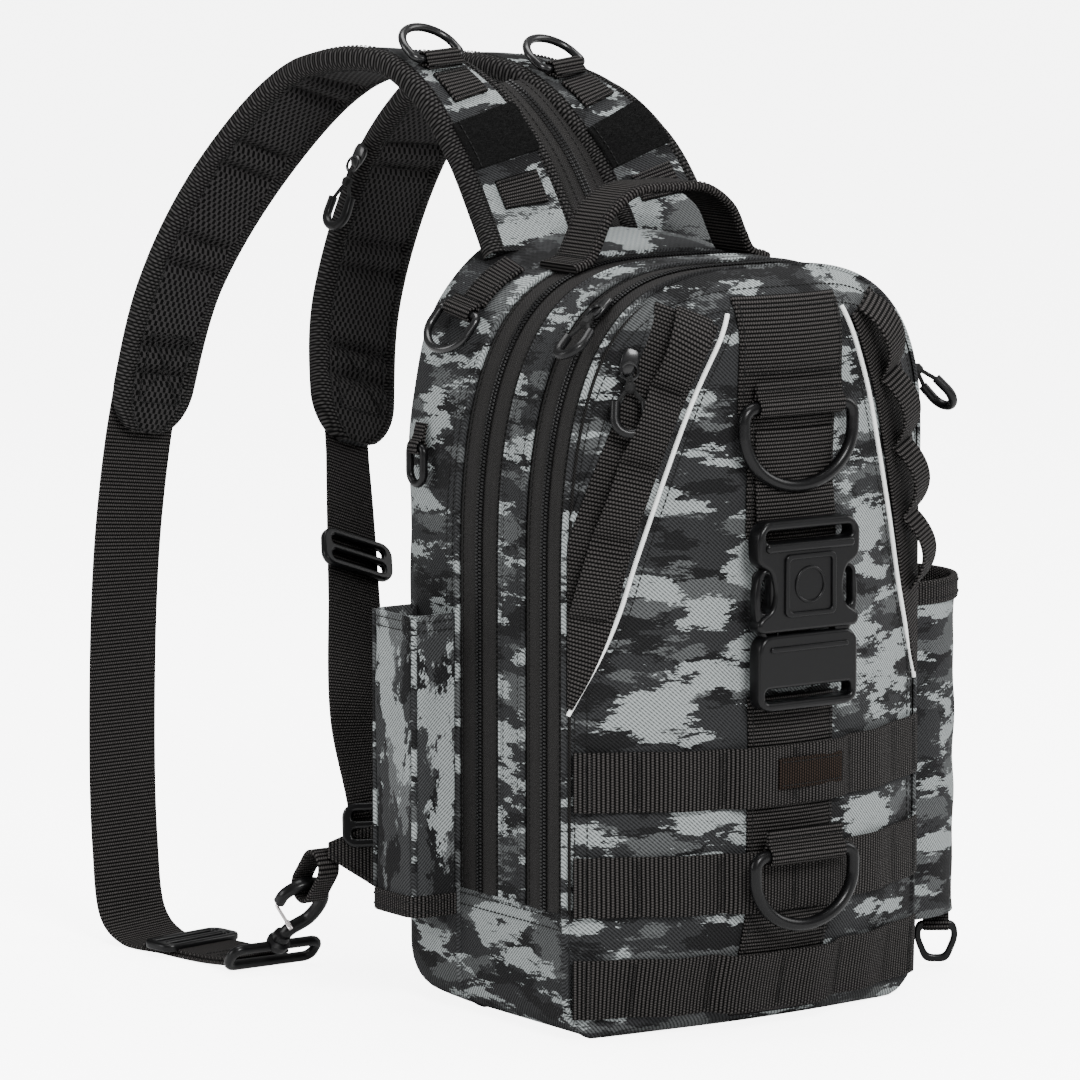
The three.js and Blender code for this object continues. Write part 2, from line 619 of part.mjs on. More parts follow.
// Webbing on the front panel
function buildFrontWebbing() {
  const { wide, narrow, top, loopZ, bottom, ringRoom } = CENTRE;
  piece("centre_web_top", "webbing", frontStrip(straightDown(top, loopZ + ringRoom, 6), wide, WEB, LIFT));
  const aboveBuckle = BUCKLE.z + BUCKLE.height / 2 + BUCKLE.above;
  const belowBuckle = BUCKLE.z - BUCKLE.height / 2 - BUCKLE.below;
  const midRoute = straightDown(loopZ - ringRoom, aboveBuckle, 5);
  piece("centre_web_mid", "webbing", frontStrip(midRoute, narrow, WEB, LIFT + SPARE));
  piece("centre_web_low", "webbing", frontStrip(straightDown(belowBuckle, bottom, 12), narrow, WEB, LIFT));

  const { half, steps, pitch, puff } = MOLLE;
  const { end, ramp } = MOLLE_OVER;
  MOLLE.rows.forEach((z, row) => {
    const route = Array.from({ length: steps + 1 }, (_, i) => ({ x: half * ((2 * i) / steps - 1), z }));
    const lift = (_, x) => {
      const over = MOLLE_OVER.lift * smooth(clamp01((narrow / 2 + end - Math.abs(x)) / ramp));
      return LIFT + over + puff * Math.sin((Math.PI * x) / pitch) ** 2;
    };
    piece(`molle_row_${row + 1}`, "webbing", frontStrip(route, MOLLE.width, WEB, lift));
  });

  [-1, 1].forEach((hand) => {
    const end = hand < 0 ? "left" : "right";
    const mirrored = (shift) => V_ROUTE.map(({ x, z }) => ({ x: hand * (x + shift), z }));
    const web = resample(mirrored(0), V_STEPS);
    piece(`v_web_${end}`, "webbing", frontStrip(web, V_WIDTH, WEB, LIFT + SPARE));
    const daisy = resample(mirrored(DAISY.shift), DAISY.steps);
    const base = LIFT + WEB + DAISY.lift;
    const bump = (share) => base + DAISY.puff * Math.sin(Math.PI * DAISY.loops * share) ** 2;
    piece(`daisy_web_${end}`, "webbing", frontStrip(daisy, DAISY.width, WEB, bump));
    const foot = PIPING.foot.map(({ x, z }) => ({ x: hand * x, z }));
    const trim = resample([...mirrored(-PIPING.out), ...foot], V_STEPS);
    piece(`piping_${end}`, "reflective", frontStrip(trim, PIPING.width, WEB, LIFT));
  });
}

// A tab of folded webbing with a bore for a ring's bar: the bar runs along X and the tail along Z
function webTab(width, bore, tail) {
  const outer = bore + TAB_WALL;
  const half = TAB_WALL;
  const start = Math.PI / 2 + Math.asin(half / outer);
  const shape = new THREE.Shape();
  shape.moveTo(half, tail);
  shape.lineTo(-half, tail);
  shape.lineTo(outer * Math.cos(start), outer * Math.sin(start));
  shape.absarc(0, 0, outer, start, Math.PI * 2.5 - (start - Math.PI / 2), false);
  shape.closePath();
  const hole = new THREE.Path();
  hole.absarc(0, 0, bore, 0, 2 * Math.PI, true);
  shape.holes.push(hole);
  const geometry = new THREE.ExtrudeGeometry(shape, { depth: width, bevelEnabled: false, curveSegments: 4 });
  const toBar = new THREE.Matrix4().makeBasis(vec(0, 1, 0), vec(0, 0, 1), vec(1, 0, 0));
  return geometry.applyMatrix4(toBar).translate(-width / 2, 0, 0);
}

// A D-ring: its straight bar lies on X, and its round part hangs towards -Z
function dRing({ bar, depth, wire, sides = SMALL_RING_SIDES }) {
  const radius = bar / 2 + wire;
  const corner = radius * D_FORM.corner;
  const centreZ = -Math.max(depth - radius, radius * D_FORM.drop);
  const path = [
    { x: radius * D_FORM.bar, z: 0 },
    { x: 0, z: 0 },
    { x: -radius * D_FORM.bar, z: 0 },
    { x: -radius, z: -corner },
  ];
  for (let i = 0; i <= D_FORM.steps; i++) {
    const turn = Math.PI + (Math.PI * i) / D_FORM.steps;
    path.push({ x: radius * Math.cos(turn), z: centreZ + radius * D_FORM.round * Math.sin(turn) });
  }
  path.push({ x: radius, z: -corner });
  return wireLoop(path, wire, sides);
}

// A closed wire along a flat loop of x, z
function wireLoop(path, wire, sides) {
  const frames = path.map(({ x, z }, i) => {
    const before = path[(i + path.length - 1) % path.length];
    const after = path[(i + 1) % path.length];
    const along = vec(after.x - before.x, 0, after.z - before.z).normalize();
    return { p: vec(x, 0, z), side: vec(-along.z, 0, along.x), up: vec(0, 1, 0) };
  });
  return sweep(frames, wireSection(wire, sides), true);
}

// A frame from its bar direction, its tail direction and a place.
function ringFrame(barAxis, tailAxis, place) {
  const out = tailAxis.clone().cross(barAxis).normalize();
  return new THREE.Matrix4().makeBasis(barAxis, out, tailAxis).setPosition(place);
}

// One ring with its tab in a shared frame.
function ringOnTab(name, ring, tail, frame) {
  piece(`${name}_tab`, "webbing", webTab(ring.tab, ring.wire + BORE_PLAY, tail), frame);
  piece(name, "plastic", dRing(ring), frame);
}

function buildFrontRings() {
  FRONT_RINGS.forEach((ring) => {
    const place = vec(0, frontY(0, ring.z) - ring.lift, ring.z);
    ringOnTab(`d_ring_${ring.name}`, ring, FRONT_TAIL, ringFrame(vec(1, 0, 0), vec(0, 0, 1), place));
  });
}

// Side-release buckle: the socket half with its two loops, and the prong half below it
function buildBuckle() {
  const { width, height, thick, bar, lift, z } = BUCKLE;
  const { socketShare, corner, bevel, slot, rim, slotCorner } = BUCKLE_FORM;
  const backY = frontY(0, z) - lift;
  const upright = new THREE.Matrix4().makeBasis(vec(1, 0, 0), vec(0, 0, 1), vec(0, -1, 0));
  const slab = (h, end, dz) => {
    const shape = new THREE.Shape();
    roundedRect(shape, width - 2 * bevel, h, corner);
    const cut = new THREE.Path();
    roundedRect(cut, CENTRE.narrow + 1, slot, slotCorner, end * (h / 2 - rim));
    shape.holes.push(cut);
    const edge = { bevelEnabled: true, bevelThickness: bevel, bevelSize: bevel, bevelSegments: 1 };
    const body = new THREE.ExtrudeGeometry(shape, { depth: thick - 2 * bevel, curveSegments: 2, ...edge });
    return body.applyMatrix4(upright).translate(0, backY, z + dz);
  };
  const socketH = height * socketShare;
  piece("buckle_socket", "plastic", slab(socketH + bar, 1, (height + bar - socketH) / 2));
  const prongH = height - socketH - bevel;
  const prongBar = bar - 2 * bevel;
  piece("buckle_prong", "plastic", slab(prongH + prongBar, -1, (prongH - height - bar) / 2));
}

// A rounded rectangle path about x = 0 and y = v.
function roundedRect(path, w, h, r, v = 0) {
  const [x, y] = [w / 2, h / 2];
  path.moveTo(-x + r, v - y);
  path.lineTo(x - r, v - y);
  path.absarc(x - r, v - y + r, r, -Math.PI / 2, 0, false);
  path.lineTo(x, v + y - r);
  path.absarc(x - r, v + y - r, r, 0, Math.PI / 2, false);
  path.lineTo(-x + r, v + y);
  path.absarc(-x + r, v + y - r, r, Math.PI / 2, Math.PI, false);
  path.lineTo(-x, v - y + r);
  path.absarc(-x + r, v - y + r, r, Math.PI, Math.PI * 1.5, false);
  path.closePath();
}

// Carry handle: a band of webbing on two sewn feet
function buildHandle() {
  const left = HANDLE_ROWS.map((row) => ({ x: row.in - HANDLE.half, lift: row.lift }));
  const right = left.slice(0, -1).map(({ x, lift }) => ({ x: -x, lift }));
  const whole = [...left, ...right.reverse()];
  const base = HANDLE.thick / 2 + HANDLE.seat;
  const points = whole.map(({ x, lift }) => vec(x, HANDLE.y, topZ(x, HANDLE.y) + base + lift));
  const curve = new THREE.CatmullRomCurve3(points, false, "centripetal");
  const { steps } = HANDLE;
  const frames = Array.from({ length: steps + 1 }, (_, i) => {
    const along = curve.getTangent(i / steps);
    return { p: curve.getPoint(i / steps), side: vec(0, 1, 0), up: vec(-along.z, 0, along.x) };
  });
  const half = HANDLE.thick / 2;
  const band = sweep(frames, stripSection(HANDLE.width, -half, half));
  piece("carry_handle", "webbing", cutBy(band, bodyBlank(GAP)));
}

// Webbing from the handle down to the ring on the left shoulder of the bag
function buildShoulderRing() {
  const { start, end, width, over, steps } = SHOULDER_WEB;
  const at = (share) => {
    const x = THREE.MathUtils.lerp(start.x, end.x, share);
    const y = THREE.MathUtils.lerp(start.y, end.y, share);
    return vec(x, y, topZ(x, y));
  };
  const frames = Array.from({ length: steps + 1 }, (_, i) => {
    const share = i / steps;
    const p = at(share);
    const along = at(share + 0.05).sub(at(share - 0.05)).normalize();
    const slope = vec(topZ(p.x - 1, p.y) - topZ(p.x + 1, p.y), topZ(p.x, p.y - 1) - topZ(p.x, p.y + 1), 2);
    const up = slope.addScaledVector(along, -slope.dot(along)).normalize();
    return { p, along, up, side: along.clone().cross(up).normalize() };
  });
  const band = sweep(frames, stripSection(width, -LIFT, over));
  piece("shoulder_web", "webbing", cutBy(band, bodyBlank(GAP)));
  const last = frames.at(-1);
  const { wire, tail, seat } = SHOULDER_RING;
  const place = last.p.clone();
  place.addScaledVector(last.up, wire + BORE_PLAY + TAB_WALL + seat);
  place.addScaledVector(last.along, tail + GAP);
  ringOnTab("d_ring_shoulder", SHOULDER_RING, tail, ringFrame(last.side, last.along.clone().negate(), place));
}

// The padded straps with what is sewn on them
function buildStraps() {
  const blank = bodyBlank(GAP);
  const halves = [
    { name: "outer", hand: -1, tail: OUTER_TAIL },
    { name: "inner", hand: 1, tail: INNER_TAIL },
  ];
  halves.forEach(({ name, hand, tail }) => {
    const beside = SPINE.map((row) => {
      const shift = sideOf(row).multiplyScalar(hand * (HALF_SEAM + row.width / 2));
      return { ...row, x: row.x + shift.x, y: row.y + shift.y, z: row.z + shift.z };
    });
    const frames = routeFrames([...beside, ...tail], STRAP_STEPS);
    const pad = sweep(frames, (f) => padSection(f.width, PAD));
    piece(`strap_pad_${name}`, "mesh", cutBy(pad, blank));

    const top = PAD / 2 + SEWN_GAP;
    const sewn = (part, finish, { first, last, thick, width, rise = 0 }) => {
      const stretch = frames.slice(first, last + 1);
      piece(`${part}_${name}`, finish, sweep(stretch, stripSection(width, top + rise, top + rise + thick)));
    };
    sewn("pile_patch", "pile", PATCH);
    sewn("strap_loop", "webbing", STRAP_LOOP);
    sewn("ring_band", "webbing", RING_BAND);

    const { p, along, side, up } = frames[RING_STATION];
    const lift = PAD / 2 + STRAP_RING.seat + STRAP_RING.wire + BORE_PLAY + TAB_WALL;
    const place = p.clone().addScaledVector(up, lift);
    const hang = along.clone().applyAxisAngle(side, STRAP_RING.lean);
    ringOnTab(`strap_ring_${name}`, STRAP_RING, STRAP_RING.tail, ringFrame(side, hang.negate(), place));
  });

  const seamFrames = routeFrames(SPINE, STRAP_STEPS / 2).slice(0, STRAP_ZIP.last + 1);
  const seamBand = sweep(seamFrames, stripSection(2 * STRAP_ZIP.half, STRAP_ZIP.low, STRAP_ZIP.high));
  piece("strap_zip", "zip", cutBy(seamBand, blank));
}

// Webbing and glides at the lower ends of the straps
function buildStrapWebbing() {
  const half = STRAP_WEB.thick / 2;
  const routes = [
    { name: "outer", rows: OUTER_WEB },
    { name: "inner", rows: INNER_WEB },
  ];
  routes.forEach(({ name, rows }) => {
    const width = STRAP_WEB[name];
    const frames = routeFrames(rows, WEB_STEPS[name].steps);
    piece(`strap_web_${name}`, "webbing", sweep(frames, stripSection(width, -half, half)));

    const shape = new THREE.Shape();
    roundedRect(shape, width + GLIDE.over, GLIDE.depth, GLIDE.corner);
    const slot = new THREE.Path();
    roundedRect(slot, width + GLIDE.play, GLIDE.depth - 2 * GLIDE.rim, GLIDE.corner / 2);
    shape.holes.push(slot);
    const settings = { depth: GLIDE.thick, bevelEnabled: false, curveSegments: 2 };
    const ring = new THREE.ExtrudeGeometry(shape, settings).translate(0, 0, -GLIDE.thick / 2);
    const { p, along, side, up } = frames[WEB_STEPS[name].glide];
    const place = p.clone().addScaledVector(up, -(half + GLIDE.thick / 2 + SEWN_GAP));
    const frame = new THREE.Matrix4().makeBasis(side, along, side.clone().cross(along));
    piece(`glide_${name}`, "plastic", ring, frame.setPosition(place));
  });
}

// The snap hook's own frame: u runs across the webbing and v up towards the bag
function hookFrame() {
  const pitch = THREE.MathUtils.degToRad(HOOK.pitch);
  const towardsBag = vec(0, -Math.cos(pitch), Math.sin(pitch));
  return ringFrame(vec(1, 0, 0), towardsBag, vec(HOOK.x, HOOK.y, HOOK.z));
}

// Frames along an open or closed line of u, v in a flat plane
function planeFrames(line, loop = false) {
  const last = line.length - 1;
  return line.map(({ u, v }, i) => {
    const before = line[i > 0 ? i - 1 : loop ? last : 0];
    const after = line[i < last ? i + 1 : loop ? 0 : last];
    const along = vec(after.u - before.u, 0, after.v - before.v).normalize();
    return { p: vec(u, 0, v), side: vec(-along.z, 0, along.x), up: vec(0, 1, 0) };
  });
}

function buildHook() {
  const frame = hookFrame();
  const { half: a, depth, nip } = HOOK_LOOP;
  const b = depth / 2;
  const loop = [
    [-a + nip, -b],
    [a - nip, -b],
    [a, -b + nip],
    [a, b - nip],
    [a - nip, b],
    [-a + nip, b],
    [-a, b - nip],
    [-a, -b + nip],
  ].map(([u, v]) => ({ u, v }));
  const loopWire = sweep(planeFrames(loop, true), wireSection(HOOK.wire), true);
  const curve = new THREE.CatmullRomCurve3(HOOK_JAW.map(({ u, v }) => vec(u, v, 0)), false, "centripetal");
  const jaw = curve.getSpacedPoints(HOOK.jawSteps).map((p) => ({ u: p.x, v: p.y }));
  const jawWire = sweep(planeFrames(jaw), wireSection(HOOK.jawWire));
  piece("snap_hook", "plastic", joined(loopWire, jawWire), frame);
  piece("hook_gate", "steel", sweep(planeFrames([GATE.foot, GATE.head]), wireSection(GATE.wire)), frame);

  const { u, v, radius, straight, width, thick } = ANCHOR;
  const ends = [
    { at: v + straight, from: 0 },
    { at: v, from: Math.PI },
  ];
  const turns = 6;
  const loopFrames = ends.flatMap(({ at, from }) =>
    Array.from({ length: turns + 1 }, (_, i) => {
      const turn = from + (Math.PI * i) / turns;
      const out = vec(0, Math.cos(turn), Math.sin(turn));
      return { p: vec(u, 0, at).addScaledVector(out, radius), side: vec(1, 0, 0), up: out };
    }),
  );
  piece("anchor_loop", "webbing", sweep(loopFrames, stripSection(width, 0, thick), true), frame);

  const tip = vec(u, 0, v + straight + radius + thick + WING.reach).applyMatrix4(frame);
  const foot = vec(WING.x, WING.y, (WING.lowZ + WING.highZ) / 2);
  const reach = tip.clone().sub(foot).setZ(0).normalize();
  const across = vec(-reach.y, reach.x, 0);
  const rows = [
    { p: foot, half: (WING.highZ - WING.lowZ) / 2 },
    { p: tip, half: WING.tipHalf },
  ];
  const rings = rows.map(({ p, half }) =>
    [
      [-1, -1],
      [1, -1],
      [1, 1],
      [-1, 1],
    ].map(([t, h]) => p.clone().addScaledVector(across, (t * WING.thick) / 2).add(vec(0, 0, h * half))),
  );
  piece("corner_wing", "webbing", cutBy(loft(rings), bodyBlank(GAP)));
}

// Small rings: one below the bottle pocket, and one that ties a rod to the left side
function buildSmallRings() {
  const { half, drop, wire } = BASE_RING;
  const triangle = [
    { x: half * 0.9, z: 0 },
    { x: 0, z: 0 },
    { x: -half * 0.9, z: 0 },
    { x: -half, z: -drop * 0.35 },
    { x: -half * 0.5, z: -drop },
    { x: half * 0.5, z: -drop },
    { x: half, z: -drop * 0.35 },
  ];
  const turn = THREE.MathUtils.degToRad(BASE_RING.turn);
  const bar = vec(Math.cos(turn), Math.sin(turn), 0);
  const baseFrame = ringFrame(bar, vec(0, 0, 1), vec(BASE_RING.x, BASE_RING.y, BASE_RING.z));
  const tail = BOTTLE.lowZ - BASE_RING.z - GAP;
  piece("base_ring_tab", "webbing", webTab(BASE_RING.tab, wire + BORE_PLAY, tail), baseFrame);
  piece("base_ring", "plastic", wireLoop(triangle, wire, SMALL_RING_SIDES), baseFrame);

  const oval = [];
  const steps = 5;
  const legs = ROD_TIE.drop - 2 * ROD_TIE.half;
  for (let i = 0; i <= steps; i++) {
    const around = Math.PI + (Math.PI * i) / steps;
    oval.push({ x: ROD_TIE.half * Math.cos(around), z: -legs + ROD_TIE.half * Math.sin(around) });
  }
  [0.99, 0.75, 0, -0.75, -0.99].forEach((share) => {
    const x = ROD_TIE.half * share;
    oval.push({ x, z: Math.abs(share) < 0.9 ? 0 : -2 });
  });
  const place = vec(-HALF_WIDTH - ROD_TIE.out, ROD_TIE.y, ROD_TIE.z);
  const hinge = vec(0, -1, 0);
  const tabFrame = ringFrame(hinge, vec(ROD_TIE.lean, 0, 1).normalize(), place);
  piece("rod_tie_tab", "webbing", webTab(ROD_TIE.tab, ROD_TIE.wire + BORE_PLAY, ROD_TIE.tail), tabFrame);
  const ringHang = ringFrame(hinge, vec(0, 0, 1), place);
  piece("rod_tie_ring", "plastic", wireLoop(oval, ROD_TIE.wire, SMALL_RING_SIDES), ringHang);
}

buildBody();
buildPockets();
buildFrontWebbing();
buildFrontRings();
buildBuckle();
buildHandle();
buildShoulderRing();
buildStraps();
buildStrapWebbing();
buildHook();
buildSmallRings();

export default backpack;
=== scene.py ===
"""Looks of a fishing sling backpack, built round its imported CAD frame.

Lengths in the classes are millimetres in the part's own frame; meshes are made in metres.
"""
import json
import logging
import math
from dataclasses import dataclass, field
from enum import Enum
from typing import Callable, Iterable, Optional, Sequence, Union

import bpy
import numpy as np
from mathutils import Matrix, Vector


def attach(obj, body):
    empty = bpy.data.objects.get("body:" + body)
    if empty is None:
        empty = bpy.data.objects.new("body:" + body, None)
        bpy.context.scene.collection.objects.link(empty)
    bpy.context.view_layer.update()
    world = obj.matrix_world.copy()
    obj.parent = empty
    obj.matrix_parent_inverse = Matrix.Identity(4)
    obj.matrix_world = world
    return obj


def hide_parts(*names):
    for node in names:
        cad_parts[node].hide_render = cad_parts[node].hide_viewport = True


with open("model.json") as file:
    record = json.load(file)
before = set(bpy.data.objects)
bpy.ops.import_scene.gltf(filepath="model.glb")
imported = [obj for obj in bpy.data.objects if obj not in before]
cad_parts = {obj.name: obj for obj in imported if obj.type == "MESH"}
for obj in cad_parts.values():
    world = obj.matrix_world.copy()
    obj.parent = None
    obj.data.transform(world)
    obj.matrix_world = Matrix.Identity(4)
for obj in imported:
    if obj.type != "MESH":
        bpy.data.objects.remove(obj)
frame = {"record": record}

LOG = logging.getLogger("backpack")
MM = 0.001
Points = np.ndarray
BAG_MIDDLE = np.array([0.0, 0.0, 190.0])
Colour = tuple[float, float, float]
Rows = tuple[tuple[float, ...], ...]
Lift = Union[float, Callable[[Points, Points], Points]]
Thing = bpy.types.Object
Material = bpy.types.Material
Node = bpy.types.Node
NodeTree = bpy.types.NodeTree
Out = bpy.types.NodeSocket
Socket = Union[Out, float]
Mark = Union[int, Points]
BLACK = (0.0, 0.0, 0.0)
SHARP = 42.0
ROUTE_STEPS = 401
PLACE = [0, 1, 2, 4, 5]
COAT_ROUGH = 0.17
PATCHES = (
    ("Deep", (5.1, 2.3, 7.7), 34.0, 0.53, 0.545),
    ("Mid", (1.7, 9.2, 3.1), 33.0, 0.545, 0.57),
    ("Light", (8.4, 4.6, 0.9), 31.0, 0.555, 0.567),
)
TOOTH = np.array([[-0.66, 0.6, 0], [-0.42, 1, 0], [0.42, 1, 0], [0.66, 0.6, 0]])
FLOAT, VECTOR, COLOUR = "NodeSocketFloat", "NodeSocketVector", "NodeSocketColor"


def unit(v: Points) -> Points:
    """Scales vectors to length one."""
    return v / np.maximum(np.linalg.norm(v, axis=-1, keepdims=True), 1e-9)


def smooth(a: Points) -> Points:
    """Eases a share from 0 to 1, with flat ends."""
    a = np.clip(a, 0.0, 1.0)
    return a * a * (3 - 2 * a)


def travelled(line: Points) -> Points:
    """Length travelled along a line of points."""
    steps = np.linalg.norm(np.diff(line, axis=0), axis=1)
    return np.concatenate([[0.0], np.cumsum(steps)])


def read_off(at: Points, far: Points, line: Points) -> Points:
    """Reads values off a line at given lengths along it."""
    return np.stack([np.interp(at, far, column) for column in line.T], axis=1)


def spaced(line: Points, step: float) -> Points:
    """Places a fixed step apart on a line.

    Args:
        line: Points in order.
        step: The wanted distance between places.

    Returns:
        Points spread evenly from end to end.
    """
    far = travelled(line)
    count = max(2, int(round(far[-1] / step)) + 1)
    at = np.linspace(0, far[-1], count)
    return read_off(at, far, line)


def tangents(line: Points, loop: bool = False) -> Points:
    """Directions of travel at the points of a line.

    Args:
        line: Points in order.
        loop: Whether the last point leads back to the first.

    Returns:
        One direction for each point.
    """
    if loop:
        return unit(np.roll(line, -1, axis=0) - np.roll(line, 1, axis=0))
    return unit(np.gradient(line, axis=0))


def curve(points: Sequence[Sequence[float]], count: int) -> Points:
    """A smooth centripetal curve through points, as in the CAD source.

    Args:
        points: Points that the curve passes.
        count: How many places to return, at even parameters.

    Returns:
        The places on the curve.
    """
    p = np.asarray(points, float)
    p = np.vstack([2 * p[0] - p[1], p, 2 * p[-1] - p[-2]])
    place = np.linspace(0, len(p) - 3, count)
    i = np.minimum(place.astype(int), len(p) - 4)
    w = (place - i)[:, None]
    x0, x1, x2, x3 = (p[i + k] for k in range(4))
    pairs = ((x0, x1), (x1, x2), (x2, x3))
    d0, d1, d2 = (np.sqrt(np.linalg.norm(b - a, axis=1, keepdims=True)) for a, b in pairs)
    t1 = ((x1 - x0) / d0 - (x2 - x0) / (d0 + d1) + (x2 - x1) / d1) * d1
    t2 = ((x2 - x1) / d1 - (x3 - x1) / (d1 + d2) + (x3 - x2) / d2) * d1
    return x1 + t1 * w + (3 * (x2 - x1) - 2 * t1 - t2) * w**2 + (2 * (x1 - x2) + t1 + t2) * w**3


def spread(*values: Points) -> Points:
    """Stacks values as coordinates, after they are spread to one shape."""
    return np.stack(np.broadcast_arrays(*values), axis=-1)


def circle(sides: int) -> Points:
    """Points round a circle of radius one."""
    angle = np.linspace(0, 2 * math.pi, sides, endpoint=False)
    return np.stack([np.cos(angle), np.sin(angle)], axis=1)


def rounded_loop(half_w: float, half_h: float, radius: float, steps: int = 6) -> Points:
    """A rectangle with round corners, anticlockwise about the origin.

    Args:
        half_w: Half its width.
        half_h: Half its height.
        radius: Radius of the corners.
        steps: Steps in each corner.

    Returns:
        The outline's points.
    """
    turns = np.linspace(0, math.pi / 2, steps + 1)
    out = []
    for quarter, (sx, sy) in enumerate(((1, 1), (-1, 1), (-1, -1), (1, -1))):
        angle = turns + quarter * math.pi / 2
        corner = np.array([sx * (half_w - radius), sy * (half_h - radius)])
        out.append(corner + radius * np.stack([np.cos(angle), np.sin(angle)], axis=1))
    return np.vstack(out)


def ripple(a: Points, b: Points, size: float, seed: int) -> Points:
    """Soft uneven waves for cloth that has been handled.

    Args:
        a: First coordinate.
        b: Second coordinate.
        size: Typical length of a wave.
        seed: Picks the pattern.

    Returns:
        Values of about -1 to 1.
    """
    rng = np.random.default_rng(seed)
    total = np.zeros(np.broadcast(a, b).shape)
    for _ in range(7):
        turn = rng.uniform(0, 2 * math.pi)
        rate = 2 * math.pi / (size * rng.uniform(0.6, 1.6))
        total = total + np.sin(rate * (a * math.cos(turn) + b * math.sin(turn)) + rng.uniform(0, 2 * math.pi))
    return total / 3.2


@dataclass(frozen=True)
class Frames:
    """Places along a line, each with the directions of a strip there."""

    p: Points
    along: Points
    side: Points
    up: Points

    @classmethod
    def route(cls, rows: Union[Rows, Points], count: int, start: float = 0.0, end: float = 1.0) -> "Frames":
        """Follows rows of a place with a yaw and a tilt of the width.

        Args:
            rows: Rows of x, y, z, yaw and tilt in degrees.
            count: How many frames to make.
            start: Share of the route to start at.
            end: Share of the route to end at.

        Returns:
            The frames.
        """
        table = np.asarray(rows, float)
        fine = curve(table[:, :3], ROUTE_STEPS)
        share = np.linspace(start, end, count)
        base = np.linspace(0, 1, ROUTE_STEPS)
        p = read_off(share, base, fine)
        along = tangents(p)
        place = share * (len(table) - 1)
        yaw, tilt = (np.radians(np.interp(place, np.arange(len(table)), table[:, k])) for k in (3, 4))
        side = np.stack([np.cos(yaw) * np.cos(tilt), np.sin(yaw) * np.cos(tilt), -np.sin(tilt)], axis=1)
        return cls.aimed(p, along, side)

    @classmethod
    def aimed(cls, p: Points, along: Points, side: Points) -> "Frames":
        """Makes frames from a rough width direction."""
        side = unit(side - along * np.sum(side * along, axis=1, keepdims=True))
        return cls(p, along, side, unit(np.cross(side, along)))

    @classmethod
    def flat(cls, line: Points, normal: Sequence[float], loop: bool = False) -> "Frames":
        """Frames of a line that lies in one plane.

        Args:
            line: Places.
            normal: The plane's normal, which becomes the thickness direction.
            loop: Whether the line is closed.

        Returns:
            The frames.
        """
        along = tangents(line, loop)
        up = np.broadcast_to(unit(np.asarray(normal, float)), line.shape)
        return cls(line, along, unit(np.cross(along, up)), up)

    @classmethod
    def over(cls, p: Points, up: Points) -> "Frames":
        """Frames along a line on a surface."""
        along = tangents(p)
        return cls(p, along, unit(np.cross(along, up)), np.broadcast_to(up, p.shape))

    def part(self, first: int, last: int) -> "Frames":
        """A stretch of these frames."""
        return Frames(self.p[first:last], self.along[first:last], self.side[first:last], self.up[first:last])

    def lifted(self, out: float, across: float = 0.0) -> "Frames":
        """The same frames moved along their own directions."""
        return Frames(self.p + self.up * out + self.side * across, self.along, self.side, self.up)

    def sweep(self, section: Points) -> Points:
        """Places a section at every frame.

        Args:
            section: Points of width and thickness, for all frames or for each.

        Returns:
            Rows of points, one row for each frame.
        """
        section = np.broadcast_to(section, (len(self.p),) + section.shape[-2:])
        return (
            self.p[:, None]
            + section[..., :1] * self.side[:, None]
            + section[..., 1:] * self.up[:, None]
        )


def strip_section(width: float, low: float, high: float, across: int = 10, edge: float = 0.8) -> Points:
    """The closed section of webbing, with its edges rounded.

    Args:
        width: Width of the strip.
        low: Height of its underside.
        high: Height of its top.
        across: Points across each face.
        edge: How far the rounding reaches in.

    Returns:
        Points of width and height.
    """
    half = width / 2
    a = np.linspace(-half + edge, half - edge, across)
    mid = (low + high) / 2
    under = np.stack([a, np.full(across, low)], axis=1)
    over = np.stack([a[::-1], np.full(across, high)], axis=1)
    t = (high - low) * 0.28
    right = np.array([[half - edge * 0.2, mid - t], [half, mid], [half - edge * 0.2, mid + t]])
    left = right[::-1] * [-1, 1]
    return np.vstack([under, right, over, left])


def facing_out(points: Points, quads: Points, middle: Optional[Points] = None) -> bool:
    """Whether a surface's faces look away from its middle.

    Args:
        points: Its vertices.
        quads: Its faces.
        middle: What it encloses, or None for its own middle.

    Returns:
        True if they do.
    """
    p = points - (points.mean(axis=0) if middle is None else middle)
    a, b, c, d = (p[quads[:, k]] for k in range(4))
    return float(np.sum(a * (np.cross(b, c) + np.cross(c, d)))) >= 0


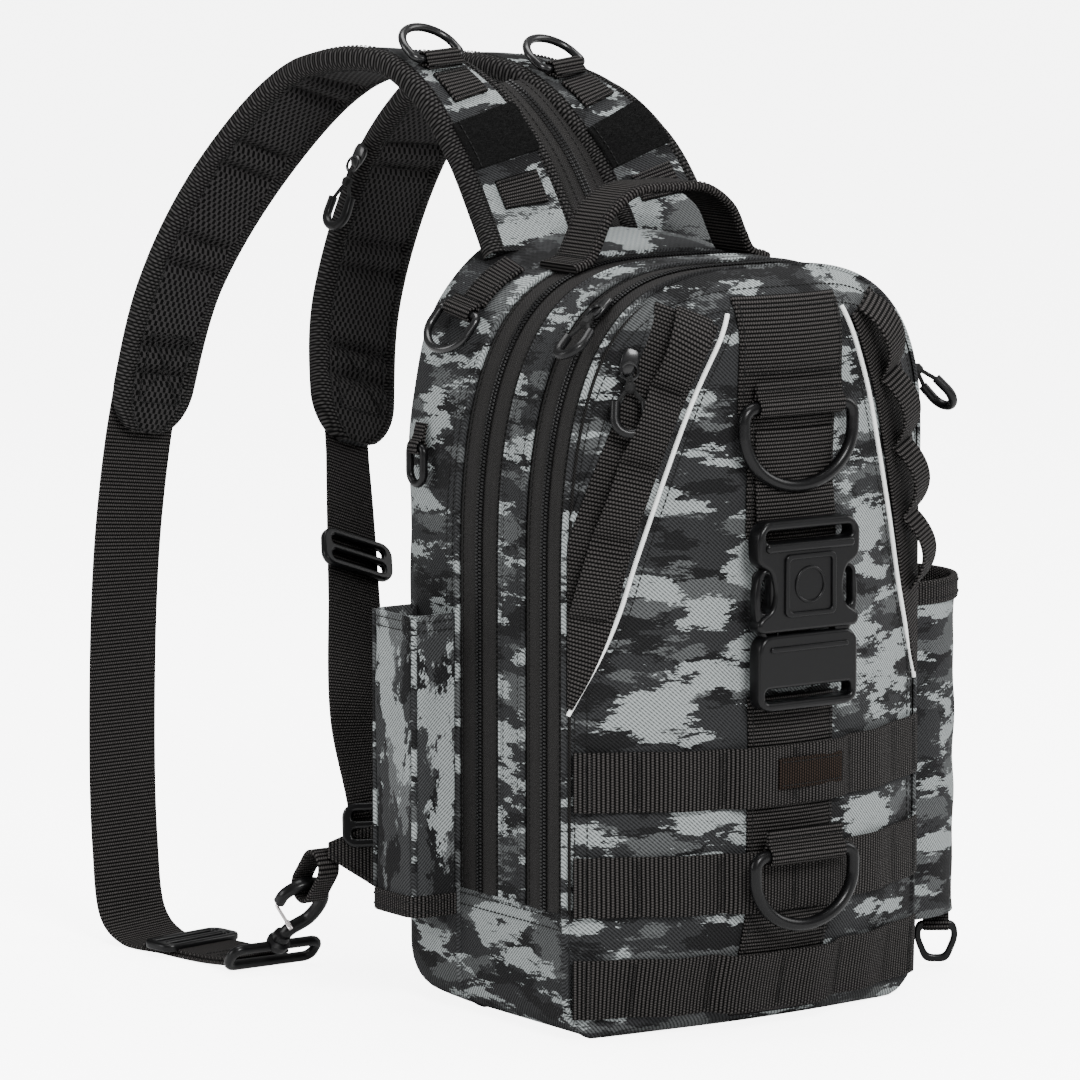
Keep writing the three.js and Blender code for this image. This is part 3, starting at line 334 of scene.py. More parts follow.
class Bin:
    """Collects surfaces and makes one mesh object of them."""

    def __init__(self) -> None:
        """Starts empty."""
        self.points: list[Points] = []
        self.coords: list[Points] = []
        self.faces: list[Points] = []
        self.marks: list[Points] = []
        self.count = 0

    def add(self, points: Points, faces: Points, coords: Optional[Points] = None, mark: int = 0) -> None:
        """Adds vertices with quads or triangles.

        Args:
            points: Vertices in millimetres.
            faces: Rows of vertex numbers, counted from this call's first.
            coords: Cloth coordinates in millimetres, one for each vertex.
            mark: Which of the object's materials the faces take.
        """
        flat = np.asarray(points, float).reshape(-1, 3)
        self.points.append(flat)
        self.coords.append(flat[:, [0, 2]] if coords is None else np.asarray(coords, float).reshape(-1, 2))
        self.faces.append(np.asarray(faces) + self.count)
        self.marks.append(np.broadcast_to(np.asarray(mark), (len(faces),)))
        self.count += len(flat)

    def grid(
        self,
        rows: Points,
        coords: Optional[Points] = None,
        wrap: bool = False,
        loop: bool = False,
        caps: bool = False,
        mark: Mark = 0,
    ) -> None:
        """Adds a surface through rows of points.

        Args:
            rows: Points by row and column.
            coords: Cloth coordinates by row and column.
            wrap: Whether the last column joins the first.
            loop: Whether the last row joins the first.
            caps: Whether the first and last rows are closed.
            mark: Material of the faces, as one number or one for each column.
        """
        r, c = rows.shape[:2]
        i = np.arange(r if loop else r - 1)[:, None]
        j = np.arange(c if wrap else c - 1)[None]
        a, b = i * c + j, i * c + (j + 1) % c
        down = ((i + 1) % r) * c
        quads = np.stack([a, b, down + (j + 1) % c, down + j], axis=-1).reshape(-1, 4)
        marks = np.broadcast_to(np.asarray(mark), (len(i), j.shape[1])).reshape(-1)
        if coords is None:
            far = travelled(rows.mean(axis=1))
            around = travelled(rows[r // 2])
            coords = spread(around[None] - around[-1] / 2, far[:, None])
        middle = None if wrap and (caps or loop) else BAG_MIDDLE
        way = 1 if facing_out(rows.reshape(-1, 3), quads, middle) else -1
        self.add(rows, quads[:, ::way], coords, 0)
        self.marks[-1] = marks
        if not caps:
            return
        for row, turn in ((0, way), (r - 1, -way)):
            ring = rows[row]
            hub = ring.mean(axis=0)
            k = np.arange(c)
            fan = np.stack([k, np.full(c, c), (k + 1) % c], axis=1)[:, ::turn]
            self.add(np.vstack([ring, hub]), fan, None, int(marks[0]))

    def sweep(self, frames: Frames, section: Points, loop: bool = False, mark: Mark = 0) -> None:
        """Adds a section swept along frames, closed at its ends.

        Args:
            frames: Where the section goes.
            section: Its closed outline.
            loop: Whether the frames make a loop.
            mark: Material of the faces.
        """
        rows = frames.sweep(section)
        one = np.broadcast_to(section, (len(rows),) + section.shape[-2:])
        far = np.broadcast_to(travelled(frames.p)[:, None], one.shape[:2])
        self.grid(rows, np.stack([one[..., 0], far], axis=-1), wrap=True, loop=loop, caps=not loop, mark=mark)

    def tube(
        self, line: Points, radius: Union[float, Points], sides: int = 8, loop: bool = False, mark: int = 0
    ) -> None:
        """Adds a round rod along a line.

        Args:
            line: The rod's middle.
            radius: Its radius, the same all along or one for each point.
            sides: Sides of its section.
            loop: Whether the line is closed.
            mark: Material of the faces.
        """
        along = tangents(line, loop)
        start = np.array([0.0, 0.0, 1.0]) if abs(along[0, 2]) < 0.9 else np.array([1.0, 0.0, 0.0])
        side = np.empty_like(line)
        last = start
        for k, t in enumerate(along):
            last = unit(last - t * np.dot(last, t))
            side[k] = last
        frames = Frames(line, along, side, np.cross(side, along))
        size = np.broadcast_to(np.asarray(radius, float), (len(line),))
        self.sweep(frames, circle(sides)[None] * size[:, None, None], loop, mark)

    def bits(self, frames: Frames, outline: Points, reach: Points, mark: int = 0) -> None:
        """Adds a small solid at every frame, such as stitches or teeth.

        Args:
            frames: Where each bit goes.
            outline: Its section, as width and height.
            reach: Rows of distance along, size and lift for its rings.
            mark: Material of the faces.
        """
        n, m, r = len(frames.p), len(outline), len(reach)
        local = np.empty((r, m, 3))
        for k, (far, size, lift) in enumerate(reach):
            local[k] = np.column_stack([np.full(m, far), outline[:, 0] * size, outline[:, 1] * size + lift])
        axes = np.stack([frames.along, frames.side, frames.up], axis=1)
        points = frames.p[:, None] + np.einsum("kc,nco->nko", local.reshape(-1, 3), axes)
        i, j = np.arange(r - 1)[:, None] * m, np.arange(m)[None]
        after = (j + 1) % m
        quads = np.stack([i + j, i + after, i + m + after, i + m + j], -1).reshape(-1, 4)
        if not facing_out(points[0], quads):
            quads = quads[:, ::-1]
        every = (quads[None] + (np.arange(n) * r * m)[:, None, None]).reshape(-1, 4)
        self.add(points, every, None, mark)

    def stitches(self, frames: Frames, pitch: float = 3.0, size: float = 0.34, mark: int = 0) -> None:
        """Adds a row of stitches along frames.

        Args:
            frames: The seam's line, with the cloth's outward direction as up.
            pitch: Distance from stitch to stitch.
            size: Half the thread's width.
            mark: Material of the thread.
        """
        far = travelled(frames.p)
        at = np.arange(pitch / 2, far[-1], pitch)
        if not len(at):
            return
        p = read_off(at, far, frames.p)
        along, up = unit(read_off(at, far, frames.along)), unit(read_off(at, far, frames.up))
        half, low, high = pitch * 0.4, -size * 0.7, size * 0.45
        flat = half * 0.55
        reach = np.array([[-half, 0.35, low], [-flat, 1, high], [flat, 1, high], [half, 0.35, low]])
        outline = size * circle(5)
        self.bits(Frames(p, along, unit(np.cross(along, up)), up), outline, reach, mark)

    def tack(
        self, frames: Frames, k: int, half: float, count: int, out: float, pitch: float = 2.0, mark: int = 1
    ) -> None:
        """Adds a row of stitches across a strip.

        Args:
            frames: The strip.
            k: Which of its frames the row crosses.
            half: Half the row's length.
            count: Points along the row.
            out: Its height over the strip's middle, below 0 for the underside.
            pitch: Distance from stitch to stitch.
            mark: Material of the thread.
        """
        across = np.linspace(-half, half, count)[:, None]
        row = frames.p[k] + frames.side[k] * across + frames.up[k] * out
        self.stitches(Frames.over(row, frames.up[k] * np.sign(out)), pitch, mark=mark)

    def fan(self, ring: Points, hub: Points) -> None:
        """Closes a ring of points to a hub.

        Args:
            ring: The ring, in order.
            hub: The point in its middle.
        """
        n = len(ring)
        k = np.arange(n)
        self.add(np.vstack([ring, hub]), np.stack([k, (k + 1) % n, np.full(n, n)], axis=1))

    def made(self, name: str, materials: Sequence[Material], sharp: float = SHARP) -> Thing:
        """Makes the mesh object.

        Args:
            name: The object's name.
            materials: Its materials, in the order of the marks.
            sharp: Edges sharper than this many degrees stay hard.

        Returns:
            The new object, linked to the scene.
        """
        mesh = bpy.data.meshes.new(name)
        faces = [row for block in self.faces for row in block.tolist()]
        mesh.from_pydata((np.vstack(self.points) * MM).tolist(), [], faces)
        for material in materials:
            mesh.materials.append(material)
        mesh.polygons.foreach_set("material_index", np.concatenate(self.marks).astype(np.int32))
        mesh.polygons.foreach_set("use_smooth", np.ones(len(mesh.polygons), bool))
        corner = np.empty(len(mesh.loops), np.int32)
        mesh.loops.foreach_get("vertex_index", corner)
        layer = mesh.uv_layers.new(name="Cloth")
        layer.data.foreach_set("uv", (np.vstack(self.coords) * MM)[corner].astype(np.float32).ravel())
        mesh.update()
        mesh.set_sharp_from_angle(angle=math.radians(sharp))
        made = bpy.data.objects.new(name, mesh)
        bpy.context.scene.collection.objects.link(made)
        return made


def plate(
    name: str, loops: Iterable[Points], thick: float, bevel: float, place: Matrix, material: Material
) -> Thing:
    """A flat moulded plate with rounded edges and holes.

    Args:
        name: The object's name.
        loops: Its outline and its holes, as points of x and y.
        thick: Its whole thickness, centred on the plane.
        bevel: Radius of its edges.
        place: Where the plane goes, in millimetres.
        material: Its material.

    Returns:
        The new object.
    """
    flat = bpy.data.curves.new(name, "CURVE")
    flat.dimensions = "2D"
    flat.fill_mode = "BOTH"
    flat.extrude = thick / 2 - bevel
    flat.bevel_depth = bevel
    flat.bevel_resolution = 2
    flat.offset = -bevel
    for loop in loops:
        line = flat.splines.new("POLY")
        line.points.add(len(loop) - 1)
        for point, (x, y) in zip(line.points, loop):
            point.co = (x, y, 0, 1)
        line.use_cyclic_u = True
    drawn = bpy.data.objects.new(name, flat)
    bpy.context.scene.collection.objects.link(drawn)
    graph = bpy.context.evaluated_depsgraph_get()
    mesh = bpy.data.meshes.new_from_object(drawn.evaluated_get(graph))
    bpy.data.objects.remove(drawn)
    bpy.data.curves.remove(flat)
    mesh.transform(Matrix.Scale(MM, 4) @ place)
    mesh.materials.clear()
    mesh.materials.append(material)
    mesh.name = name
    mesh.polygons.foreach_set("use_smooth", np.ones(len(mesh.polygons), bool))
    mesh.set_sharp_from_angle(angle=math.radians(SHARP))
    made = bpy.data.objects.new(name, mesh)
    bpy.context.scene.collection.objects.link(made)
    return made


def joined(name: str, parts: Sequence[Thing]) -> Thing:
    """Joins mesh objects into one, keeping their materials.

    Args:
        name: The name of the whole.
        parts: Objects to join, which go.

    Returns:
        The joined object.
    """
    first = parts[0]
    with bpy.context.temp_override(active_object=first, object=first, selected_editable_objects=list(parts)):
        bpy.ops.object.join()
    first.name = name
    first.data.name = name
    return first


def placed(x: Sequence[float], y: Sequence[float], z: Sequence[float], at: Sequence[float]) -> Matrix:
    """A matrix from three axes and a place.

    Args:
        x: First axis.
        y: Second axis.
        z: Third axis.
        at: The place.

    Returns:
        The 4 by 4 matrix.
    """
    m = Matrix.Identity(4)
    for k, column in enumerate((x, y, z, at)):
        for row in range(3):
            m[row][k] = float(column[row])
    return m


class Tree:
    """Adds and links the nodes of one node tree."""

    def __init__(self, tree: NodeTree) -> None:
        """Takes the tree."""
        self.tree = tree

    def node(self, kind: str, **settings: object) -> Node:
        """Adds a node.

        Args:
            kind: The node's type.
            **settings: Properties to set on it.

        Returns:
            The new node.
        """
        made = self.tree.nodes.new(kind)
        for key, value in settings.items():
            setattr(made, key, value)
        return made

    def feed(self, value: Socket, socket: Out) -> None:
        """Links a socket, or sets a plain value.

        Args:
            value: An output socket or a number.
            socket: The input that takes it.
        """
        if isinstance(value, Out):
            self.tree.links.new(value, socket)
        else:
            socket.default_value = value

    def math(self, operation: str, *values: Socket) -> Out:
        """Adds a math node.

        Args:
            operation: Its operation.
            *values: Its inputs.

        Returns:
            Its output.
        """
        made = self.node("ShaderNodeMath", operation=operation)
        for value, socket in zip(values, made.inputs):
            self.feed(value, socket)
        return made.outputs[0]

    def step(self, value: Socket, low: float, high: float) -> Out:
        """Eases a value from 0 at low to 1 at high.

        Args:
            value: What is eased.
            low: Where the result leaves 0.
            high: Where the result reaches 1.

        Returns:
            The eased value.
        """
        made = self.node("ShaderNodeMapRange", interpolation_type="SMOOTHSTEP")
        self.feed(value, made.inputs["Value"])
        made.inputs["From Min"].default_value = low
        made.inputs["From Max"].default_value = high
        return made.outputs["Result"]

    def noise(self, vector: Socket, scale: Socket, detail: float = 2.0, rough: float = 0.5) -> Out:
        """Adds a noise texture.

        Args:
            vector: Its coordinates.
            scale: Its scale.
            detail: Its detail.
            rough: Its roughness.

        Returns:
            Its value.
        """
        made = self.node("ShaderNodeTexNoise")
        self.feed(vector, made.inputs["Vector"])
        self.feed(scale, made.inputs["Scale"])
        made.inputs["Detail"].default_value = detail
        made.inputs["Roughness"].default_value = rough
        return made.outputs["Fac"]

    def stretched(self, vector: Socket, by: Sequence[float], shift: Sequence[float] = (0, 0, 0)) -> Out:
        """Scales and shifts coordinates.

        Args:
            vector: The coordinates.
            by: Scale on each axis.
            shift: What is added after it.

        Returns:
            The new coordinates.
        """
        made = self.node("ShaderNodeVectorMath", operation="MULTIPLY_ADD")
        self.feed(vector, made.inputs[0])
        made.inputs[1].default_value = by
        made.inputs[2].default_value = shift
        return made.outputs[0]

    def blend(self, share: Socket, a: object, b: object, how: str = "MIX") -> Out:
        """Mixes two colours.

        Args:
            share: How much of the second.
            a: First colour or socket.
            b: Second colour or socket.
            how: The way they mix.

        Returns:
            The mixed colour.
        """
        made = self.node("ShaderNodeMix", data_type="RGBA", blend_type=how)
        self.feed(share, made.inputs[0])
        for value, socket in ((a, made.inputs[6]), (b, made.inputs[7])):
            self.feed(value if isinstance(value, Out) else (*value, 1.0), socket)
        return made.outputs[2]

    def wave(self, value: Socket, pitch: float) -> Out:
        """A sine wave over a length in metres."""
        return self.math("SINE", self.math("MULTIPLY", value, 2 * math.pi / (pitch * MM)))

    def bump(self, height: Socket, depth: float) -> Out:
        """Adds a bump node.

        Args:
            height: Its height, from 0 to 1.
            depth: What a height of 1 stands for, in millimetres.

        Returns:
            The normal.
        """
        made = self.node("ShaderNodeBump")
        made.inputs["Distance"].default_value = depth * MM
        self.feed(height, made.inputs["Height"])
        return made.outputs["Normal"]

    def cloth(self) -> Out:
        """The cloth's own coordinates, in metres."""
        return self.node("ShaderNodeUVMap", uv_map="Cloth").outputs[0]

    def split(self, vector: Out) -> tuple[Out, Out]:
        """Parts a vector.

        Args:
            vector: The coordinates.

        Returns:
            The first two of them.
        """
        parts = self.node("ShaderNodeSeparateXYZ")
        self.feed(vector, parts.inputs[0])
        return parts.outputs["X"], parts.outputs["Y"]

    def group(self, tree: NodeTree, vector: Out, **values: object) -> bpy.types.bpy_prop_collection:
        """Places a shared group.

        Args:
            tree: The group.
            vector: Its coordinates.
            **values: Its other inputs.

        Returns:
            Its outputs.
        """
        made = self.node("ShaderNodeGroup", node_tree=tree)
        self.feed(vector, made.inputs["Vector"])
        for name, value in values.items():
            made.inputs[name].default_value = value
        return made.outputs

    def finish(self, shader: Node, colour: Out, normal: Out, rough: Socket, gloss: float) -> None:
        """Gives a shader what every finish has.

        Args:
            shader: The shader.
            colour: Its base colour.
            normal: Its normal.
            rough: Its roughness.
            gloss: Its specular level.
        """
        names = ("Base Color", "Normal", "Roughness", "Specular IOR Level")
        for name, value in zip(names, (colour, normal, rough, gloss)):
            self.feed(value, shader.inputs[name])


class Weaves:
    """Shader groups that more than one finish uses."""

    def __init__(self) -> None:
        """Makes the groups."""
        self.rib = self._rib()
        self.twill = self._twill()
        self.print = self._print()
        self.wear = self._wear()

    @staticmethod
    def _group(
        name: str, inputs: Sequence[tuple[str, str, object]], outputs: Sequence[tuple[str, str]]
    ) -> tuple[NodeTree, Tree, Node, Node]:
        """Starts a group with its sockets.

        Args:
            name: The group's name.
            inputs: Name, type and default of each input.
            outputs: Name and type of each output.

        Returns:
            The group, its tree helper, its input node and its output node.
        """
        group = bpy.data.node_groups.new(name, "ShaderNodeTree")
        for label, kind, default in inputs:
            socket = group.interface.new_socket(label, in_out="INPUT", socket_type=kind)
            if default is not None:
                socket.default_value = default
        for label, kind in outputs:
            group.interface.new_socket(label, in_out="OUTPUT", socket_type=kind)
        tree = Tree(group)
        return group, tree, tree.node("NodeGroupInput"), tree.node("NodeGroupOutput")

    def _rib(self) -> NodeTree:
        """Cross ribs of webbing over its yarns.

        Returns:
            The group, from cloth coordinates to height and shade.
        """
        inputs = (("Vector", VECTOR, None), ("Rib", FLOAT, 1.7), ("Yarn", FLOAT, 1.2))
        group, t, source, sink = self._group("rib_weave", inputs, (("Height", FLOAT), ("Shade", FLOAT)))
        x, y = t.split(source.outputs["Vector"])
        u = t.math("DIVIDE", t.math("MULTIPLY", x, 1 / MM), source.outputs["Yarn"])
        v = t.math("DIVIDE", t.math("MULTIPLY", y, 1 / MM), source.outputs["Rib"])
        ridge = t.math("POWER", t.math("ABSOLUTE", t.math("SINE", t.math("MULTIPLY", v, math.pi))), 1.3)
        odd = t.math("MULTIPLY", t.math("FLOOR", v), 0.5)
        yarn = t.math("SINE", t.math("MULTIPLY", t.math("ADD", u, odd), 2 * math.pi))
        height = t.math("MULTIPLY", ridge, t.math("MULTIPLY_ADD", yarn, 0.3, 0.72))
        t.feed(height, sink.inputs["Height"])
        fuzz = t.noise(source.outputs["Vector"], 900.0, 3.0, 0.6)
        # Painted shade: the colour darkens in the gaps between the ribs and keeps its full tone on the rib
        # tops, times a random fuzz.
        lit = t.math("MULTIPLY_ADD", height, 1.5, -0.3)
        t.feed(t.math("MULTIPLY", lit, t.math("MULTIPLY_ADD", fuzz, 0.8, 0.6)), sink.inputs["Shade"])
        return group

    def _twill(self) -> NodeTree:
        """Slanted threads of printed cloth.

        Returns:
            The group, from cloth coordinates to height and shade.
        """
        inputs = (("Vector", VECTOR, None), ("Pitch", FLOAT, 1.3))
        group, t, source, sink = self._group("twill_weave", inputs, (("Height", FLOAT), ("Shade", FLOAT)))
        x, y = t.split(source.outputs["Vector"])
        rate = t.math("DIVIDE", 2000.0 * math.pi, source.outputs["Pitch"])
        u = t.math("MULTIPLY", x, rate)
        v = t.math("MULTIPLY", y, rate)
        slant = t.math("SINE", t.math("MULTIPLY_ADD", v, 0.8, t.math("MULTIPLY", u, 0.8)))
        cross = t.math("SINE", t.math("SUBTRACT", t.math("MULTIPLY", u, 0.5), t.math("MULTIPLY", v, 0.5)))
        height = t.math("MULTIPLY_ADD", cross, 0.09, t.math("MULTIPLY_ADD", slant, 0.41, 0.5))
        t.feed(height, sink.inputs["Height"])
        slub = t.noise(t.stretched(source.outputs["Vector"], (1.0, 3.0, 1.0)), 420.0, 3.0, 0.6)
        # Painted shade: the colour darkens in the grooves between the slanted threads, with random slubs on
        # top.
        t.feed(t.math("MULTIPLY_ADD", slub, 0.4, t.math("MULTIPLY", height, 1.05)), sink.inputs["Shade"])
        return group

    def _print(self) -> NodeTree:
        """Torn-edged blotches of a camouflage print in four tones.

        Returns:
            The group, from coordinates to a colour.
        """
        tones = [(name, COLOUR, (0.1, 0.1, 0.1, 1.0)) for name in ("Light", "Mid", "Dark", "Deep")]
        group, t, source, sink = self._group("camo_print", [("Vector", VECTOR, None), *tones],
                                             [("Color", COLOUR)])
        at = source.outputs["Vector"]
        torn = t.math("SUBTRACT", t.noise(t.stretched(at, (0.8, 0.8, 1.2)), 420.0, 3.0, 0.6), 0.5)
        rag = t.math("SUBTRACT", t.noise(t.stretched(at, (0.75, 0.75, 1.1)), 135.0, 3.0, 0.62), 0.5)
        colour = source.outputs["Dark"]
        for tone, shift, scale, low, high in PATCHES:
            place = t.noise(t.stretched(at, (1, 1, 1), shift), scale, 1.5, 0.45)
            rough = t.math("MULTIPLY_ADD", torn, 0.24, t.math("MULTIPLY_ADD", rag, 0.42, place))
            colour = t.blend(t.step(rough, low, high), colour, source.outputs[tone])
        t.feed(colour, sink.inputs["Color"])
        return group

    def _wear(self) -> NodeTree:
        """Fine grain with faint dust for moulded and metal pieces.

        Returns:
            The group, from coordinates to grain and shade.
        """
        inputs = (("Vector", VECTOR, None), ("Scale", FLOAT, 900.0))
        group, t, source, sink = self._group("fine_wear", inputs, (("Grain", FLOAT), ("Shade", FLOAT)))
        grain = t.noise(source.outputs["Vector"], source.outputs["Scale"], 4.0, 0.62)
        soft = t.noise(source.outputs["Vector"], 46.0, 3.0, 0.6)
        t.feed(grain, sink.inputs["Grain"])
        shade = t.math("MULTIPLY_ADD", soft, 0.6, t.math("MULTIPLY_ADD", grain, 0.3, 0.55))
        t.feed(shade, sink.inputs["Shade"])
        return group


class Look(Enum):
    """The finishes of the bag."""

    CAMO = "camo_twill"
    CAMO_UPRIGHT = "camo_twill_upright"
    WEBBING = "black_webbing"
    BINDING = "ribbed_binding"
    TAPE = "zip_tape"
    MESH = "air_mesh"
    PLASTIC = "black_plastic"
    RUBBER = "pull_grip"
    METAL = "dark_metal"
    STEEL = "steel_wire"
    PILE = "loop_pile"
    REFLECTIVE = "reflective_piping"
    THREAD = "black_thread"
    BROWN = "brown_tab"


@dataclass(frozen=True)
class Cloth:
    """A woven finish in one dark tone, with ribs across it."""

    colour: Colour
    rib: float
    yarn: float
    depth: float
    rough: float = 0.82
    gloss: float = 0.05

    def dress(self, t: Tree, shader: Node, weaves: Weaves) -> None:
        """Builds the finish.

        Args:
            t: The material's tree.
            shader: Its shader.
            weaves: The shared groups.
        """
        weave = t.group(weaves.rib, t.cloth(), Rib=self.rib, Yarn=self.yarn)
        # Painted shade: the rib weave's shade darkens the cloth's colour in the gaps between the ribs.
        colour = t.blend(weave["Shade"], BLACK, self.colour)
        t.finish(shader, colour, t.bump(weave["Height"], self.depth), self.rough, self.gloss)


@dataclass(frozen=True)
class Camo:
    """Printed twill in greys; the stretch draws its blotches out level or upright."""

    stretch: tuple[float, float, float] = (0.84, 0.84, 2.2)
    light: Colour = (0.226, 0.245, 0.245)
    mid: Colour = (0.06, 0.0632, 0.064)
    dark: Colour = (0.0205, 0.021, 0.022)
    deep: Colour = (0.0085, 0.0085, 0.009)
    pitch: float = 1.5
    depth: float = 0.28
    rough: float = 0.86
    gloss: float = 0.1

    def dress(self, t: Tree, shader: Node, weaves: Weaves) -> None:
        """Builds the finish.

        Args:
            t: The material's tree.
            shader: Its shader.
            weaves: The shared groups.
        """
        place = t.stretched(t.node("ShaderNodeTexCoord").outputs["Object"], self.stretch)
        tones = {"Light": self.light, "Mid": self.mid, "Dark": self.dark, "Deep": self.deep}
        pattern = t.group(weaves.print, place, **{name: (*tone, 1.0) for name, tone in tones.items()})
        weave = t.group(weaves.twill, t.cloth(), Pitch=self.pitch)
        # Painted shade: the twill's shade darkens the printed colour in the grooves between the threads.
        colour = t.blend(weave["Shade"], BLACK, pattern["Color"])
        t.finish(shader, colour, t.bump(weave["Height"], self.depth), self.rough, self.gloss)


@dataclass(frozen=True)
class AirMesh:
    """Knitted spacer mesh with staggered long holes."""

    thread: Colour = (0.021, 0.02, 0.02)
    # Painted shade: the near-black hole colour stands for the shade inside the knit's holes.
    hole: Colour = (0.0005, 0.0005, 0.0005)
    shadow: Colour = (0.006, 0.006, 0.006)
    across: float = 3.4
    along: float = 5.6
    yarn: tuple[float, float] = (0.8, 1.1)
    opening: tuple[float, float] = (-0.1, 0.32)
    depth: float = 0.9
    rough: float = 0.8
    gloss: float = 0.06

    def dress(self, t: Tree, shader: Node, weaves: Weaves) -> None:
        """Builds the finish.

        Args:
            t: The material's tree.
            shader: Its shader.
            weaves: The shared groups.
        """
        cloth = t.cloth()
        x, y = t.split(cloth)
        lattice = t.math("MULTIPLY", t.wave(x, self.across), t.wave(y, self.along))
        yarn = t.math("MULTIPLY", t.wave(x, self.yarn[0]), t.wave(y, self.yarn[1]))
        open_ = t.step(lattice, *self.opening)
        knit = t.blend(t.group(weaves.wear, cloth)["Shade"], self.shadow, self.thread)
        # Painted shade: the holes take the near-black colour of the shade inside them.
        colour = t.blend(open_, knit, self.hole)
        height = t.math("SUBTRACT", t.math("MULTIPLY_ADD", yarn, 0.08, 0.9), open_)
        t.finish(shader, colour, t.bump(height, self.depth), self.rough, self.gloss)


@dataclass(frozen=True)
class Tape:
    """Zip tape with a fine herringbone."""

    colour: Colour = (0.0108, 0.0101, 0.0098)
    pitch: float = 1.5
    fold: float = 2.2
    depth: float = 0.22
    rough: float = 0.75
    gloss: float = 0.12

    def dress(self, t: Tree, shader: Node, weaves: Weaves) -> None:
        """Builds the finish.

        Args:
            t: The material's tree.
            shader: Its shader.
            weaves: The shared groups.
        """
        cloth = t.cloth()
        x, y = t.split(cloth)
        fold = t.math("PINGPONG", x, self.fold * MM)
        height = t.math("MULTIPLY_ADD", t.wave(t.math("ADD", fold, y), self.pitch), 0.5, 0.5)
        # Painted shade: the colour darkens in the grooves of the herringbone, times the random grain.
        lit = t.math("MULTIPLY_ADD", height, 0.6, 0.5)
        shade = t.math("MULTIPLY", t.group(weaves.wear, cloth)["Shade"], lit)
        colour = t.blend(shade, BLACK, self.colour)
        t.finish(shader, colour, t.bump(height, self.depth), self.rough, self.gloss)


@dataclass(frozen=True)
class Moulded:
    """Plastic, rubber, metal or plain thread with a fine grain."""

    colour: Colour
    rough: float
    metallic: float = 0.0
    grain: float = 0.05
    scale: float = 900.0
    coat: float = 0.0
    gloss: float = 0.5

    def dress(self, t: Tree, shader: Node, weaves: Weaves) -> None:
        """Builds the finish.

        Args:
            t: The material's tree.
            shader: Its shader.
            weaves: The shared groups.
        """
        place = t.node("ShaderNodeTexCoord").outputs["Object"]
        wear = t.group(weaves.wear, place, Scale=self.scale)
        colour = t.blend(wear["Shade"], tuple(c * 0.7 for c in self.colour), self.colour)
        rough = t.math("MULTIPLY_ADD", wear["Shade"], 0.2, self.rough - 0.14)
        t.finish(shader, colour, t.bump(wear["Grain"], self.grain), rough, self.gloss)
        coat = (("Metallic", self.metallic), ("Coat Weight", self.coat), ("Coat Roughness", COAT_ROUGH))
        for name, value in coat:
            shader.inputs[name].default_value = value


FINISHES: dict[Look, object] = {
    Look.CAMO: Camo(),
    Look.CAMO_UPRIGHT: Camo(stretch=(2.0, 2.0, 0.78), mid=(0.09, 0.095, 0.096), dark=(0.03, 0.031, 0.032)),
    Look.WEBBING: Cloth((0.046, 0.0428, 0.0415), 1.8, 1.3, 0.9),
    Look.BINDING: Cloth((0.033, 0.0315, 0.0311), 1.7, 2.6, 0.6),
    Look.TAPE: Tape(),
    Look.MESH: AirMesh(),
    Look.PLASTIC: Moulded((0.0022, 0.0022, 0.0024), 0.34, grain=0.03, coat=0.13, gloss=0.08),
    Look.RUBBER: Moulded((0.0022, 0.0022, 0.0024), 0.42, grain=0.03, coat=0.1, gloss=0.12),
    Look.METAL: Moulded((0.004, 0.004, 0.0043), 0.3, grain=0.02, coat=0.3, gloss=0.14),
    Look.STEEL: Moulded((0.62, 0.58, 0.58), 0.26, metallic=1.0, grain=0.01),
    Look.PILE: Moulded((0.0045, 0.0045, 0.0045), 0.95, grain=0.7, scale=620.0, gloss=0.05),
    Look.REFLECTIVE: Moulded((0.62, 0.63, 0.62), 0.45, grain=0.08, scale=1400.0, coat=0.2),
    Look.THREAD: Moulded((0.005, 0.005, 0.005), 0.7, grain=0.05, gloss=0.15),
    Look.BROWN: Cloth((0.022, 0.0145, 0.011), 1.4, 1.4, 0.25),
}


@dataclass
class Wardrobe:
    """Makes each material once, when a piece first asks for it."""

    weaves: Weaves = field(default_factory=Weaves)
    made: dict[Look, Material] = field(default_factory=dict)

    def __getitem__(self, look: Look) -> Material:
        """Finds or makes a finish's material.

        Args:
            look: The finish.

        Returns:
            Its material.
        """
        if look not in self.made:
            material = bpy.data.materials.new(look.value)
            material.use_nodes = True
            shader = material.node_tree.nodes["Principled BSDF"]
            FINISHES[look].dress(Tree(material.node_tree), shader, self.weaves)
            self.made[look] = material
        return self.made[look]

    def several(self, *looks: Look) -> list[Material]:
        """Materials in an order."""
        return [self[look] for look in looks]

    def fit(
        self, bin_: Bin, name: str, slot: str, node: str, *looks: Look,
        body: str = "root", sharp: float = SHARP,
    ) -> Thing:
        """Makes a piece of what a bin holds, dresses it and hands it in.

        Args:
            bin_: The surfaces.
            name: Name of the piece.
            slot: The record's material slot, which is not used.
            node: The CAD node that it replaces, or nothing.
            *looks: Its finishes, in the order of the marks.
            body: The CAD body that it moves with.
            sharp: Edges sharper than this many degrees stay hard.

        Returns:
            The piece.
        """
        piece = bin_.made(name, self.several(*looks), sharp)
        hand_in(piece, [node] if node else [], body)
        return piece

    def web(self, bin_: Bin, name: str, node: str) -> None:
        """Hands in sewn webbing, with its thread as the second finish."""
        self.fit(bin_, name, "webbing", node, Look.WEBBING, Look.THREAD)


def hand_in(piece: Thing, stands_for: Sequence[str] = (), body: str = "root") -> None:
    """Ties a finished piece to the frame and reports it.

    Args:
        piece: The object.
        stands_for: CAD nodes that it replaces.
        body: The CAD body that it moves with.
    """
    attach(piece, body)
    if stands_for:
        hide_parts(*stands_for)
    LOG.info("%s: %d faces on %s", piece.name, len(piece.data.polygons), body)


